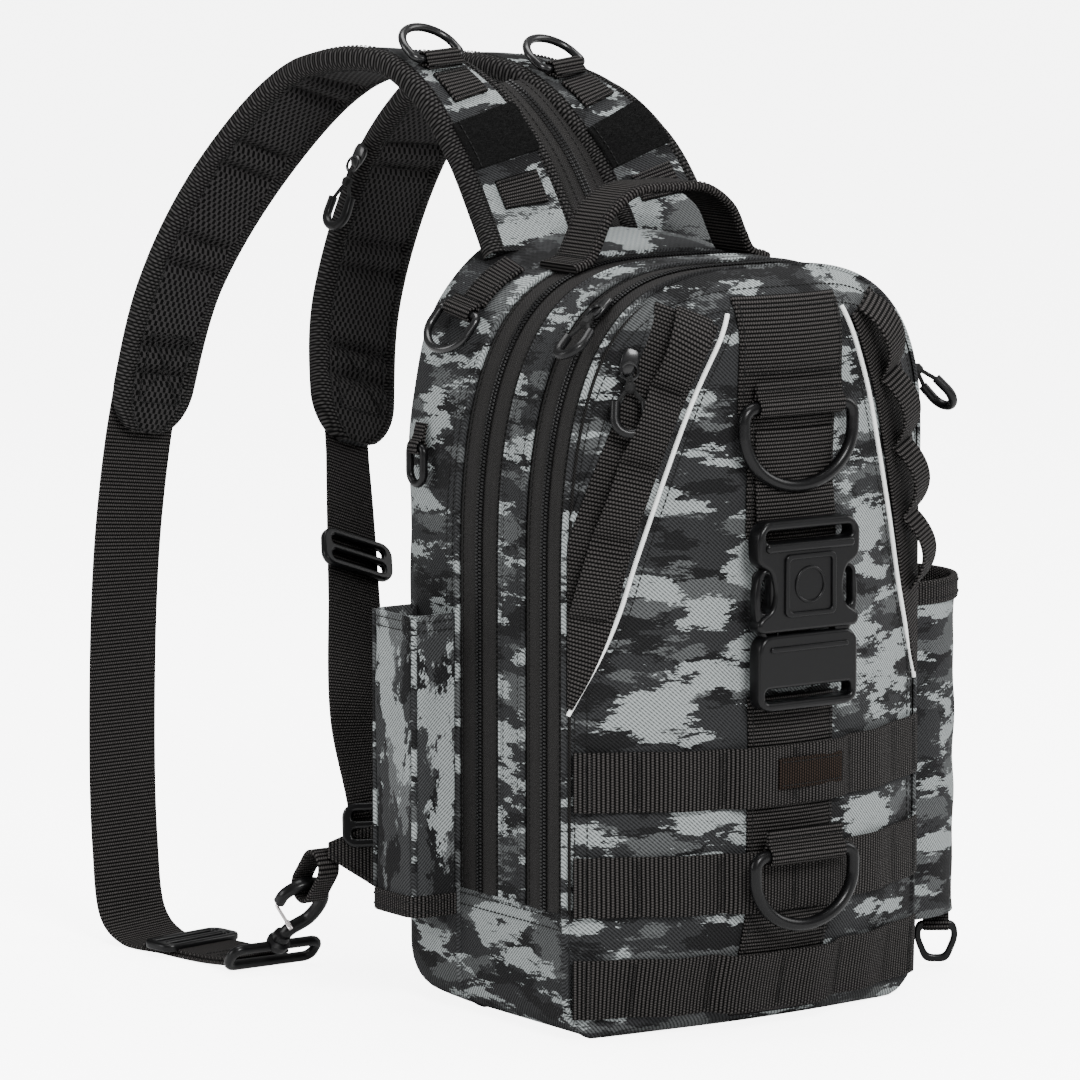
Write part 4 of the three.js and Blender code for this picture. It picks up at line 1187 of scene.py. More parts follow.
@dataclass(frozen=True)
class BodyForm:
    """The bag's outline and its bulging front, as in the CAD source."""

    front_height: float = 366.0
    half: float = 105.0
    spring: float = 230.0
    power: float = 3.2
    corner: float = 22.0
    zip_end: float = 62.0
    front_edge: float = -84.0
    front_zip_back: float = -52.0
    main_zip_front: float = -31.0
    rear_edge: float = 4.0
    lean: float = 10.0
    lean_from: float = 225.0
    bulge: float = 40.0
    low_share: float = 0.62
    low_full: float = 70.0
    ease: tuple[float, float, float] = (190.0, 345.0, 0.2)
    roll_from: float = 330.0
    foot: float = 13.0
    centre: float = 190.0
    rear_rows: tuple[tuple[float, float, float, float], ...] = (
        (4, 0, 366, 1),
        (30, 0, 374, 0.4),
        (48, 2, 378, 0),
        (61, 10, 378, 0),
        (69, 24, 378, 0),
        (72, 44, 378, 0),
    )

    def lean_at(self, z: Points) -> Points:
        """How far the bands lean forward at a height."""
        return self.lean * smooth((np.asarray(z) - self.lean_from) / (self.front_height - self.lean_from))

    def half_at(self, z: Points) -> Points:
        """Half the width of the front outline at a height."""
        up = np.clip((np.asarray(z) - self.spring) / (self.front_height - self.spring), 0, 1)
        return self.half * (1 - up**self.power) ** (1 / self.power)

    def arch(self, inset: float = 0.0, top: float = 366.0, steps: int = 110) -> Points:
        """The outline from the left zip end over the top to the right one.

        Args:
            inset: How far inside the outline.
            top: Its height.
            steps: Steps over the arch.

        Returns:
            Points of x and z.
        """
        half = self.half - inset
        rise = top - self.spring - inset
        side = np.linspace(self.zip_end, self.spring, 44, endpoint=False)
        turn = np.linspace(math.pi, 0, steps + 1)
        c = np.cos(turn)
        x = half * np.sign(c) * np.abs(c) ** (2 / self.power)
        z = self.spring + rise * np.maximum(0, np.sin(turn)) ** (2 / self.power)
        left = np.column_stack([np.full_like(side, -half), side])
        right = np.column_stack([np.full_like(side, half), side])[::-1]
        return np.vstack([left, np.column_stack([x, z]), right])

    def base(self, inset: float = 0.0) -> Points:
        """The outline from the right zip end under the base to the left one.

        Args:
            inset: How far inside the outline.

        Returns:
            Points of x and z.
        """
        half = self.half - inset
        corner = min(self.corner, (self.zip_end - inset) * 0.8)
        turn = np.linspace(0, math.pi / 2, 11)
        curve_ = np.column_stack([half - corner * (1 - np.cos(turn)), inset + corner * (1 - np.sin(turn))])
        drop = np.linspace(self.zip_end, inset + corner, 8, endpoint=False)
        down = np.column_stack([np.full(8, half), drop])
        under = np.linspace(half - corner, 0, 14)[1:]
        right = np.vstack([down, curve_, np.column_stack([under, np.full(13, inset)])])
        return np.vstack([right, (right * [-1, 1])[-2::-1]])

    def ring(self, y: float, inset: float, top: float, lean: float) -> Points:
        """A closed ring of the body at a depth."""
        flat = np.vstack([self.arch(inset, top), self.base(inset)[1:-1]])
        return np.column_stack([flat[:, 0], y - lean * self.lean_at(flat[:, 1]), flat[:, 1]])

    def front_y(self, x: Points, z: Points) -> Points:
        """Depth of the front panel's face, with its soft dents.

        Args:
            x: Places across.
            z: Heights.

        Returns:
            Depths.
        """
        x, z = np.asarray(x, float), np.asarray(z, float)
        across = np.maximum(0, 1 - (x / np.maximum(self.half_at(z), 1)) ** 2)
        low = self.low_share + (1 - self.low_share) * smooth(z / self.low_full)
        ease = smooth((z - self.ease[0]) / (self.ease[1] - self.ease[0]))
        top = np.clip((z - self.roll_from) / (self.front_height - self.roll_from), 0, 1)
        under = 1 - np.clip(z / self.foot, 0, 1)
        roll = np.sqrt(1 - top**2) * np.sqrt(1 - under**2)
        dents = 0.75 * ripple(x, z, 85, 4) * np.minimum(1, 2.2 * across) * roll
        full = self.bulge * across * low * (1 - self.ease[2] * ease) * roll
        return self.front_edge - self.lean_at(z) - full + dents

    def front(self, x: Points, z: Points, out: Points = 0.0) -> Points:
        """Points over the front panel."""
        p = spread(x, self.front_y(x, z), z)
        return p + self.front_normal(x, z) * np.asarray(out)[..., None]

    def front_normal(self, x: Points, z: Points) -> Points:
        """Outward directions of the front panel.

        Args:
            x: Places across.
            z: Heights.

        Returns:
            Unit vectors.
        """
        dx = (self.front_y(x + 2.0, z) - self.front_y(x - 2.0, z)) / 4
        dz = (self.front_y(x, z + 2.0) - self.front_y(x, z - 2.0)) / 4
        dx, dz = np.clip(dx, -1.6, 1.6), np.clip(dz, -1.6, 1.6)
        return unit(spread(dx, -1.0, dz))

    def top_z(self, x: float, y: float) -> float:
        """Height of the body's top over a place in plan.

        Args:
            x: Place across.
            y: Depth.

        Returns:
            The height.
        """
        rows = ((self.front_edge, 0, self.front_height, 1), *self.rear_rows)
        line = []
        for depth, inset, top, lean in rows:
            share = min(1.0, abs(x) / (self.half - inset))
            z = self.spring + (top - self.spring - inset) * (1 - share**self.power) ** (1 / self.power)
            line.append((depth - lean * float(self.lean_at(z)), z))
        return float(np.interp(y, [a for a, _ in line], [b for _, b in line]))

    def band(self, line: Points, section: Points) -> Points:
        """Rows of a band that runs along the outline.

        Args:
            line: Places of the outline, as x and z.
            section: Depth and height over the outline of each column.

        Returns:
            Points by place and column.
        """
        t = tangents(line)
        y, out = section[:, 0][None], section[:, 1][None]
        x = line[:, :1] - t[:, 1:] * out
        z = line[:, 1:] + t[:, :1] * out
        return np.stack([x, y - self.lean_at(line[:, 1:]) + 0 * x, z], axis=-1)

    @staticmethod
    def tucked(rows: Points, far: Points, under: float = 5.0, deep: float = 2.6) -> tuple[Points, Points]:
        """Draws the ends of an arched band on under the base cloth, so that no slit shows."""
        first, last = rows[:1] + [deep, 0, -under], rows[-1:] + [-deep, 0, -under]
        return np.concatenate([first, rows, last]), np.concatenate([[-under], far, [far[-1] + under]])

    def band_line(self, line: Points, y: float, out: float) -> Frames:
        """Frames along the outline at one depth.

        Args:
            line: Places of the outline.
            y: The depth.
            out: Height over the outline.

        Returns:
            Frames whose up points out of the bag.
        """
        p = self.band(line, np.array([[y, out]]))[:, 0]
        t = tangents(line)
        up = np.column_stack([-t[:, 1], np.zeros(len(t)), t[:, 0]])
        return Frames.over(p, up)


@dataclass
class BodyShell:
    """The camouflage cloth of the body and its back pad."""

    form: BodyForm
    looks: Wardrobe
    stitch_pitch: float = 3.1
    spine_end: float = 44.0
    panel_seams: tuple[float, float] = (4.6, 9.4)
    pad_inset: float = 47.0
    pad_rim: Rows = ((0, 0.3), (0, 3), (0.4, 5.2), (1.4, 7), (3.2, 8.1), (6, 8.6), (10, 8.7))
    quilt_every: float = 62.0
    quilt_deep: float = 2.4

    def build(self) -> None:
        """Makes the panels, their welts and their stitching."""
        self.front_panel()
        self.rear_shell()
        self.bands()
        self.back_pad()
        self.welts()
        self.stitching()

    def front_panel(self) -> None:
        """Makes the bulging front with fine rings from its edge to its middle."""
        f = self.form
        edge = f.ring(f.front_edge, 0, f.front_height, 1)
        share = 1 - np.linspace(0, 0.997, 60) ** 1.5
        x = edge[None, :, 0] * share[:, None]
        z = f.centre + (edge[None, :, 2] - f.centre) * share[:, None]
        rows = f.front(x, z)
        rows[0] = edge
        shell = Bin()
        shell.grid(rows, np.stack([x, z], axis=-1), wrap=True)
        shell.fan(rows[-1], rows[-1].mean(axis=0))
        self.looks.fit(shell, "front_panel_cloth", "camo", "front_panel", Look.CAMO)

    def rear_shell(self) -> None:
        """Makes the back half with rounded edges and slack sides."""
        f = self.form
        rows = curve(f.rear_rows, 34)
        rings = np.stack([f.ring(*row) for row in rows])
        flat = rings[..., [0, 2]]
        t = np.stack([tangents(ring, loop=True) for ring in flat])
        far = travelled(flat[0])
        depth = travelled(rings[:, 20])
        slack = smooth((rows[:, 0] - 8) / 18) * (1 - smooth((rows[:, 1] - 2) / 30))
        sag = (0.9 + 0.9 * ripple(far[None], depth[:, None], 75, 11)) * slack[:, None]
        rings[..., 0] += t[..., 1] * sag
        rings[..., 2] -= t[..., 0] * sag
        rings[..., 2] = np.maximum(rings[..., 2], 0.05)
        back = rings[-1]
        hub = back.mean(axis=0)
        closing = np.stack([hub + (back - hub) * s for s in (0.8, 0.5, 0.2)])
        rings = np.concatenate([rings, closing])
        depth = np.concatenate([depth, depth[-1] + np.array([20, 45, 70])])
        shell = Bin()
        shell.grid(rings, spread(far[None], depth[:, None]), wrap=True)
        shell.fan(closing[-1], hub)
        self.looks.fit(shell, "rear_shell_cloth", "camo", "rear_shell", Look.CAMO)

    def bands(self) -> None:
        """Makes the strip between the zips and the band under the base."""
        f = self.form
        low, high = f.front_zip_back + 0.3, f.main_zip_front - 0.3
        y = np.linspace(low, high, 15)
        edge = np.minimum(y - low, high - y)
        out = -0.7 + 1.5 * np.sqrt(np.clip(edge / 2.2, 0, 1)) - 0.35 * smooth((edge - 3) / 6)
        arch = f.arch()
        strip = Bin()
        rows, far = f.tucked(f.band(arch, np.column_stack([y, out])), travelled(arch))
        strip.grid(rows, spread(y[None], far[:, None]))
        self.looks.fit(strip, "gusset_cloth", "camo", "gusset_strip", Look.CAMO)
        base = f.base()
        y = np.linspace(f.front_edge + 0.3, f.rear_edge - 0.3, 40)
        rows = f.band(base, np.column_stack([y, np.zeros(40)]))
        far = travelled(base)
        flat = smooth((22 - base[:, 1]) / 22)[:, None] * smooth((y - low + 40) / 10)[None]
        sag = (0.5 + 0.5 * ripple(far[:, None], y[None], 60, 21)) * (1 - flat)
        rows[..., 0] -= np.sign(rows[..., 0]) * sag
        under = Bin()
        under.grid(rows, spread(y[None], far[:, None]))
        for hand, places in ((1, (0.5, 1.6)), (-1, (-1.5, -2.6))):
            for place in places:
                near, share = math.floor(place), place - math.floor(place)
                line = rows[near] * (1 - share) + rows[near + 1] * share
                across, up = np.tile([0, 0, 1.0], (40, 1)), np.tile([hand, 0, 0.0], (40, 1))
                under.stitches(Frames(line + up * 0.1, tangents(line), across, up), self.stitch_pitch, mark=1)
        self.looks.fit(under, "base_cloth", "camo", "base_gusset", Look.CAMO, Look.THREAD)

    def back_pad(self) -> None:
        """Makes the padded back with quilted channels."""
        f = self.form
        back, _, top, _ = f.rear_rows[-1]
        rim = np.stack([f.ring(back + out, self.pad_inset + step, top, 0) for step, out in self.pad_rim])
        edge = rim[-1]
        low, high = edge[:, 2].min() + self.spine_end, edge[:, 2].max() - self.spine_end
        spine = edge * [0, 1, 0] + np.clip(edge[:, 2:], low, high) * [0, 0, 1]
        fill = np.stack([edge + (spine - edge) * share for share in np.linspace(0.06, 1, 22)])
        rows = np.concatenate([rim, fill])
        across = (rows[..., 2] - self.pad_inset) % self.quilt_every
        quilt = np.exp(-((across - self.quilt_every / 2) ** 2) / 14) + np.exp(-(rows[..., 0] ** 2) / 16)
        first = len(rim) - 1
        rows[first:, :, 1] -= self.quilt_deep * np.clip(quilt[first:], 0, 1)
        pad = Bin()
        pad.grid(rows, rows[..., [0, 2]], wrap=True)
        made = self.looks.fit(pad, "back_pad_mesh", "mesh", "back_pad", Look.MESH)

    def welts(self) -> None:
        """Makes the folded cloth edges along the zips and the piping round the base."""
        f = self.form
        arch, base = f.arch(), f.base()
        rolls = Bin()
        for y, out, size in ((f.front_edge - 0.6, -0.5, 1.6), (f.front_zip_back + 0.9, -0.1, 1.15),
                             (f.main_zip_front - 0.9, -0.1, 1.15), (f.rear_edge + 0.7, -0.3, 1.5)):
            rolls.tube(f.band_line(arch, y, out).p, size, 8)
        for y, size in ((f.front_edge - 0.6, 2.1), (f.rear_edge + 0.4, 1.5)):
            line = f.band_line(base, y, -size + 0.7).p
            line[:, 2] = np.maximum(line[:, 2], size + 0.1)
            rolls.tube(line, size, 8)
        self.looks.fit(rolls, "cloth_welts", "camo", "", Look.CAMO)

    def stitching(self) -> None:
        """Makes the rows of stitches along the zips and panel edges."""
        f = self.form
        arch = f.arch()
        thread = Bin()
        lines = [(f.front_zip_back + 4.4, 0.55), (f.main_zip_front - 4.4, 0.55), (f.rear_edge + 4.6, 0.1),
                 (f.rear_edge + 9.5, 0.1), (f.front_edge + 3.4, -0.45), (f.front_zip_back - 3.0, -0.45),
                 (f.main_zip_front + 3.0, -0.45), (f.rear_edge - 3.4, -0.45)]
        for y, out in lines:
            thread.stitches(f.band_line(arch, y, out), self.stitch_pitch)
        for inset in self.panel_seams:
            share = 1 - inset / f.half
            x = arch[:, 0] * share
            z = f.centre + (arch[:, 1] - f.centre) * share
            p = f.front(x, z, np.full(len(x), 0.1))
            thread.stitches(Frames.over(p, f.front_normal(x, z)), self.stitch_pitch)
        self.looks.fit(thread, "seam_stitches", "webbing", "", Look.THREAD)


@dataclass
class Zips:
    """The two arched zips and their pulls."""

    form: BodyForm
    looks: Wardrobe
    pitch: float = 1.75
    teeth_out: float = 1.3
    pocket_pull: tuple[float, float] = (-79.0, 326.0)

    def build(self) -> None:
        """Makes the tapes with their teeth, and the pulls."""
        f = self.form
        for name, low, high in (("front_zip", f.front_edge + 0.3, f.front_zip_back),
                                ("main_zip", f.main_zip_front, f.rear_edge - 0.3)):
            self.tape(name, low, high)
        self.pulls()

    def tape(self, name: str, low: float, high: float) -> None:
        """Makes one zip.

        Args:
            name: The CAD node that it replaces.
            low: Depth of its front edge.
            high: Depth of its back edge.
        """
        f = self.form
        arch = f.arch()
        mid = (low + high) / 2
        half = np.array([0, 2.6, 4, 9, (high - low) / 2 - 2, (high - low) / 2, (high - low) / 2 + 3.5])
        deep = np.array([-0.9, -0.7, -0.4, -0.6, -0.9, -1.3, -2.5])
        y = mid + np.concatenate([-half[:0:-1], half])
        out = np.concatenate([deep[:0:-1], deep])
        rows, far = f.tucked(f.band(arch, np.column_stack([y, out])), travelled(arch))
        zip_ = Bin()
        zip_.grid(rows, spread(y[None] - mid, far[:, None]))
        fine = spaced(arch, self.pitch)
        outline = rounded_loop(1.2, 0.55, 0.5, 2)
        for hand in (-1, 1):
            line = f.band_line(fine, mid + hand * self.teeth_out, 0.0)
            half = 0.5 if hand > 0 else 0.0
            moved = Frames(line.p + line.along * half * self.pitch, line.along, line.side, line.up)
            zip_.bits(moved, outline, TOOTH, 1)
        self.looks.fit(zip_, f"{name}_tape", "zip", name, Look.TAPE, Look.RUBBER)

    def pulls(self) -> None:
        """Makes the sliders with their cord pulls where the photograph shows them."""
        f = self.form
        arch = f.arch()
        far = travelled(arch)
        front_mid = (f.front_edge + f.front_zip_back) / 2
        main_mid = (f.main_zip_front + f.rear_edge) / 2
        spots = (("zip_pull_front", front_mid, 0.388, (-0.25, -0.35, -1.0), 0.12),
                 ("zip_pull_front_right", front_mid, 0.655, (0.9, -0.55, -1.0), 0.30),
                 ("zip_pull_main_right", main_mid, 0.70, (0.9, -1.4, -1.0), 0.25))
        for name, y, share, fall, lean in spots:
            line = f.band_line(arch, y, 0.2)
            i = int(np.searchsorted(far, share * far[-1]))
            pull = ZipPull(name, line.p[i], line.along[i], line.up[i], fall=np.array(fall), lean=lean)
            pull.build(self.looks)
        x, z = self.pocket_pull
        at, up = f.front(np.array(x), np.array(z)), f.front_normal(np.array(x), np.array(z))
        slope = unit(f.front(np.array(x - 8), np.array(z - 20)) - at)
        ZipPull("zip_pull_pocket", at - up * 1.0, slope, up, drop=9.0).build(self.looks)


@dataclass
class ZipPull:
    """A slider with a ring, a short cord and a bent tube grip that hangs from it."""

    name: str
    at: Points
    along: Points
    up: Points
    grip: float = 7.4
    tube: float = 2.35
    drop: float = 13.0
    fall: Optional[Points] = None
    lean: float = 0.12
    slider: Rows = ((-6.2, 2.6), (-5, 3.7), (-2, 4.3), (2, 3.9), (5, 3.2), (6.2, 2.4))
    ring: float = 4.2

    def build(self, looks: Wardrobe) -> None:
        """Makes the pull.

        Args:
            looks: The finishes.
        """
        side = unit(np.cross(self.along, self.up))
        down = np.array([0.0, 0.0, -1.0]) if self.fall is None else unit(self.fall)
        hang = unit(unit(down - self.up * np.dot(down, self.up)) + self.up * self.lean)
        flat = unit(np.cross(hang, self.up))
        pull = Bin()
        frames = Frames.aimed(
            np.stack([self.at + self.along * k + self.up * 2.1 for k, _ in self.slider]),
            np.tile(self.along, (6, 1)),
            np.tile(side, (6, 1)),
        )
        wide = np.array([half for _, half in self.slider])
        section = rounded_loop(1, 0.36, 0.3, 3)[None] * wide[:, None, None]
        pull.sweep(frames, section, mark=0)
        ring_turn = np.linspace(0, 2 * math.pi, 20, endpoint=False)
        hub = self.at + self.up * 4.3 + hang * 4.5
        ring = hub + self.ring * (np.cos(ring_turn)[:, None] * hang + np.sin(ring_turn)[:, None] * flat)
        pull.tube(ring, 0.75, 6, loop=True, mark=0)
        top = hub + hang * self.ring
        knot = top + hang * (self.drop * 0.42)
        wide = self.grip - 0.5
        for hand in (-1, 1):
            ends = ((-1.5, 0.8), (self.drop * 0.42, 0.9), (self.drop + 2.5, wide))
            cord = np.stack([top + hang * k + flat * hand * s for k, s in ends])
            pull.tube(spaced(cord, 2), 1.05, 6, mark=1)
        knob = np.stack([knot + hang * k for k in (-2.6, -1.4, 1.4, 2.6)])
        pull.tube(knob, np.array([1.5, 2.7, 2.7, 1.5]), 8, mark=1)
        bend = np.linspace(0, math.pi, 13)
        foot = top + hang * (self.drop + 9)
        arc = foot + self.grip * (np.cos(bend)[:, None] * -flat + np.sin(bend)[:, None] * hang)
        left = (top + hang * (self.drop + 1) - flat * wide)[None]
        loop = np.vstack([left, arc, left + 2 * wide * flat])
        pull.tube(spaced(loop, 1.5), self.tube, 12, mark=2)
        looks.fit(pull, self.name, "plastic", "", Look.METAL, Look.THREAD, Look.RUBBER)


@dataclass
class SidePockets:
    """The rod sleeve on the left and the bottle pocket on the right."""

    form: BodyForm
    looks: Wardrobe
    cloth: float = 2.4
    sleeve: tuple[float, float, float, float] = (6, 44, 25, 8)
    sleeve_z: tuple[float, float] = (48, 196)
    sleeve_hem: float = 11.0
    bottle: tuple[float, float, float] = (-24, 38, 25)
    bottle_z: tuple[float, float] = (30, 188)
    bottle_hem: float = 12.0

    def build(self) -> None:
        """Makes both pockets with their hems."""
        sleeve, bottle = self.sleeve_plan(), self.bottle_plan()
        low, high = self.sleeve_z
        hem = low + self.sleeve_hem
        self.wall("rod_sleeve_cloth", sleeve, hem - 1, high, Look.CAMO_UPRIGHT, "rod_sleeve", 1.1)
        self.wall("rod_sleeve_web", sleeve, low, hem, Look.WEBBING, "rod_sleeve_hem", 0.0, 1.0)
        low, high = self.bottle_z
        top = high + self.bottle_hem
        self.wall("bottle_pocket_cloth", bottle, low, high + 1, Look.CAMO, "bottle_pocket", 1.2, floor=True)
        self.wall("bottle_pocket_web", bottle, high, top, Look.WEBBING, "bottle_pocket_hem", 0.0, 1.0)
        self.edging(sleeve, bottle)

    def sleeve_plan(self) -> Points:
        """The sleeve's plan from its front foot to its back foot.

        Returns:
            Points of x and y.
        """
        front, back, out, corner = self.sleeve
        wall = -self.form.half - out
        turn = np.linspace(0, math.pi / 2, 7)
        sin, cos = corner * np.sin(turn), corner * np.cos(turn)
        first = np.column_stack([wall + corner - sin, front + corner - cos])
        second = np.column_stack([wall + corner - cos, back - corner + sin])
        feet = np.array([[-self.form.half + 1.5, front]]), np.array([[-self.form.half + 1.5, back]])
        return spaced(np.vstack([feet[0], first, second, feet[1]]), 1.6)

    def bottle_plan(self) -> Points:
        """The bottle pocket's plan from its back foot to its front foot.

        Returns:
            Points of x and y.
        """
        y, radius, out = self.bottle
        turn = np.linspace(math.pi / 2, -math.pi / 2, 40)
        centre = self.form.half + out
        half = np.column_stack([centre + radius * np.cos(turn), y + radius * np.sin(turn)])
        foot = self.form.half - 1.5
        return spaced(np.vstack([[[foot, y + radius]], half, [[foot, y - radius]]]), 1.8)

    def wall(
        self, name: str, plan: Points, low: float, high: float, look: Look, node: str, sag: float,
        proud: float = 0.0, floor: bool = False,
    ) -> None:
        """Makes a wall that stands on a plan, with a rounded rim at both ends.

        Args:
            name: Name of the piece.
            plan: Its plan.
            low: Height of its foot.
            high: Height of its rim.
            look: Its finish.
            node: The CAD node that it replaces.
            sag: How uneven the cloth hangs.
            proud: How far it stands over the plan.
            floor: Whether it has a floor.
        """
        t = tangents(plan)
        normal = np.column_stack([-t[:, 1], t[:, 0]])
        far = travelled(plan)
        z = np.linspace(low + 1, high - 1, 34)
        back = -self.cloth - proud * 0.3
        mid = (proud + back) / 2
        outer, inner = proud - 0.5, back + 0.5
        face, lining = np.full(34, proud), np.full(4, back)
        out = np.concatenate([[mid, outer], face, [outer, mid, inner], lining, [inner]])
        foot, rim = low + 0.25, high - 0.25
        down = np.linspace(high - 1, low + 1, 4)
        height = np.concatenate([[low, foot], z, [rim, high, rim], down, [foot]])
        offset = out[None] + np.zeros((len(plan), 1))
        wave = sag * (ripple(far[:, None], z[None], 55, 31 + len(plan)) - 0.6)
        offset[:, 2:36] += wave * smooth(np.minimum(far, far[-1] - far) / 12)[:, None]
        rows = np.concatenate([plan[:, None] + normal[:, None] * offset[..., None],
                               np.broadcast_to(height[None, :, None], offset.shape + (1,))], axis=-1)
        wall = Bin()
        wall.grid(rows, spread(height[None], far[:, None]), wrap=True, caps=True)
        if floor:
            k = np.arange(len(plan) - 1)
            base = np.column_stack([plan - normal * 1.0, np.full(len(plan), low + 1.2)])
            hub = np.array([[self.form.half, self.bottle[0], low + 1.2]])
            wall.add(np.vstack([base, hub]), np.stack([k, k + 1, np.full(len(k), len(plan))], 1))
        self.looks.fit(wall, name, "webbing" if look is Look.WEBBING else "camo", node, look)

    def edging(self, sleeve: Points, bottle: Points) -> None:
        """Makes the welts up the sleeve's corners and the hems' stitches.

        Args:
            sleeve: The sleeve's plan.
            bottle: The bottle pocket's plan.
        """
        front, back, out, corner = self.sleeve
        wall = -self.form.half - out
        rolls = Bin()
        z = np.linspace(self.sleeve_z[0] + self.sleeve_hem, self.sleeve_z[1] - 0.5, 50)
        inset = corner * 0.28
        for y in (front + inset, back - inset):
            rolls.tube(spread(wall + inset, y, z), 1.5, 9)
        self.looks.fit(rolls, "rod_sleeve_welts", "camo", "", Look.CAMO)
        thread = Bin()
        low, high = self.sleeve_z
        mouth = self.bottle_z[1]
        seams = ((sleeve, (low + 3, low + 8), 1.05), (sleeve, (high - 3, high - 7.5), 0.05),
                 (bottle, (mouth + 3, mouth + 9), 1.05))
        for plan, heights, proud in seams:
            t = tangents(plan)
            normal = np.column_stack([-t[:, 1], t[:, 0], np.zeros(len(plan))])
            for height in heights:
                p = np.column_stack([plan, np.full(len(plan), height)]) + normal * proud
                thread.stitches(Frames.over(p, normal), 3.0)
        self.looks.fit(thread, "pocket_stitches", "webbing", "", Look.THREAD)


@dataclass
class FrontWebbing:
    """Webbing, piping and the bare tab on the front panel."""

    form: BodyForm
    looks: Wardrobe
    thick: float = 1.8
    lift: float = 0.3
    rows: tuple[float, float, float] = (26.0, 75.5, 126.0)
    row_width: float = 29.0
    row_half: float = 101.0
    pitch: float = 38.0
    tacks: tuple[float, ...] = (-95, -76, -38, 0, 38, 76, 95)
    tack_half: float = 12.5
    daisy_width: float = 15.0
    daisy_shift: float = 2.5
    daisy_high: float = 9.4
    wide: float = 60.0
    narrow: float = 50.0
    v_route: Rows = ((51, 347), (67, 312), (82, 270), (92, 232), (98, 205), (105, 184), (113, 166))
    v_width: float = 26.0
    piping: Rows = (
        (33.6, 347), (49.4, 312), (64.4, 270), (75.6, 232), (83.4, 205), (91, 185), (98.6, 168), (103, 158))

    def build(self) -> None:
        """Makes the rows, the centre webbing, both slanted webs and the tab."""
        self.centre()
        for k, z in enumerate(self.rows):
            self.row(k, z)
        for hand, end in ((-1, "left"), (1, "right")):
            self.slanted(hand, end)
        self.tab()

    def strip(
        self, bin_: Bin, route: Points, width: float, lift: Lift, across: int = 13, thick: float = 0
    ) -> None:
        """Adds webbing that follows the front panel.

        Args:
            bin_: Takes the surface.
            route: Its middle, as x and z.
            width: Its width.
            lift: Height over the cloth, plain or from the share along and x.
            across: Points across it.
            thick: Its thickness, or 0 for the usual one.
        """
        f = self.form
        t = tangents(route)
        section = strip_section(width, 0, thick or self.thick, across)
        share = travelled(route) / travelled(route)[-1]
        raise_ = lift(share, route[:, 0]) if callable(lift) else np.full(len(route), lift)
        x = route[:, :1] + t[:, 1:] * section[None, :, 0]
        z = route[:, 1:] - t[:, :1] * section[None, :, 0]
        x = np.clip(x, -f.half_at(z) + 1.6, f.half_at(z) - 1.6)
        rows = f.front(x, z, raise_[:, None] + section[None, :, 1])
        far = travelled(route)
        bin_.grid(rows, spread(section[None, :, 0], far[:, None]), wrap=True, caps=True)

    def seam(self, bin_: Bin, route: Points, out: float, pitch: float = 2.6) -> None:
        """Adds stitches along a route over the front panel.

        Args:
            bin_: Takes the stitches.
            route: The seam, as x and z.
            out: Height over the cloth.
            pitch: Distance from stitch to stitch.
        """
        f = self.form
        p = f.front(route[:, 0], route[:, 1], np.full(len(route), out))
        bin_.stitches(Frames.over(p, f.front_normal(route[:, 0], route[:, 1])), pitch, mark=1)

    @staticmethod
    def straight(a: Sequence[float], b: Sequence[float], step: float = 2.0) -> Points:
        """A straight route."""
        return spaced(np.array([a, b], float), step)

    def centre(self) -> None:
        """Makes the three lengths of centre webbing with their bar tacks."""
        for name, high, low, width, lift, tacks in (
            ("centre_web_top", 354.0, 299.0, self.wide, self.lift, (349, 322, 319)),
            ("centre_web_mid", 301.0, 240.0, self.narrow, self.lift + 0.5, ()),
            ("centre_web_low", 164.0, 9.0, self.narrow, self.lift, (14, 51, 60)),
        ):
            web = Bin()
            self.strip(web, self.straight((0, high), (0, low)), width, lift, across=25)
            if not tacks:
                self.strip(web, self.straight((0, 292), (0, 236)), width - 6, self.doubled_lift, across=21)
            for z in tacks:
                self.seam(web, self.straight((-width / 2 + 2, z), (width / 2 - 2, z)), lift + self.thick, 2.2)
            for x in (-width / 2 + 2.4, width / 2 - 2.4):
                self.seam(web, self.straight((x, high - 3), (x, low + 2)), lift + self.thick)
            self.looks.web(web, f"{name}_strip", name)

    def doubled_lift(self, s: Points, x: Points) -> Points:
        """How high the doubled centre webbing stands, which rises towards the buckle."""
        return self.lift + self.thick + 0.4 + 3.4 * smooth(s * 1.4 - 0.2)

    def row_lift(self, s: Points, x: Points) -> Points:
        """How high a row of webbing stands: over the centre webbing, and puffed between its tacks."""
        over = 2.4 * smooth((self.narrow / 2 + 12 - np.abs(x)) / 8)
        return self.lift + over + 1.9 * np.sin(math.pi * x / self.pitch) ** 2

    def row(self, k: int, z: float) -> None:
        """Makes one level row.

        Args:
            k: Its number from the bottom.
            z: Its height.
        """
        web = Bin()
        half = self.row_half
        self.strip(web, self.straight((-half, z), (half, z), 1.6), self.row_width, self.row_lift)
        for x in self.tacks:
            for shift in (-1.1, 1.1):
                lift = float(self.row_lift(0.0, np.array(float(x)))) + self.thick
                ends = (x + shift, z - self.tack_half), (x + shift, z + self.tack_half)
                self.seam(web, self.straight(*ends), lift, 1.5)
        self.looks.web(web, f"molle_row_{k + 1}_strip", f"molle_row_{k + 1}")

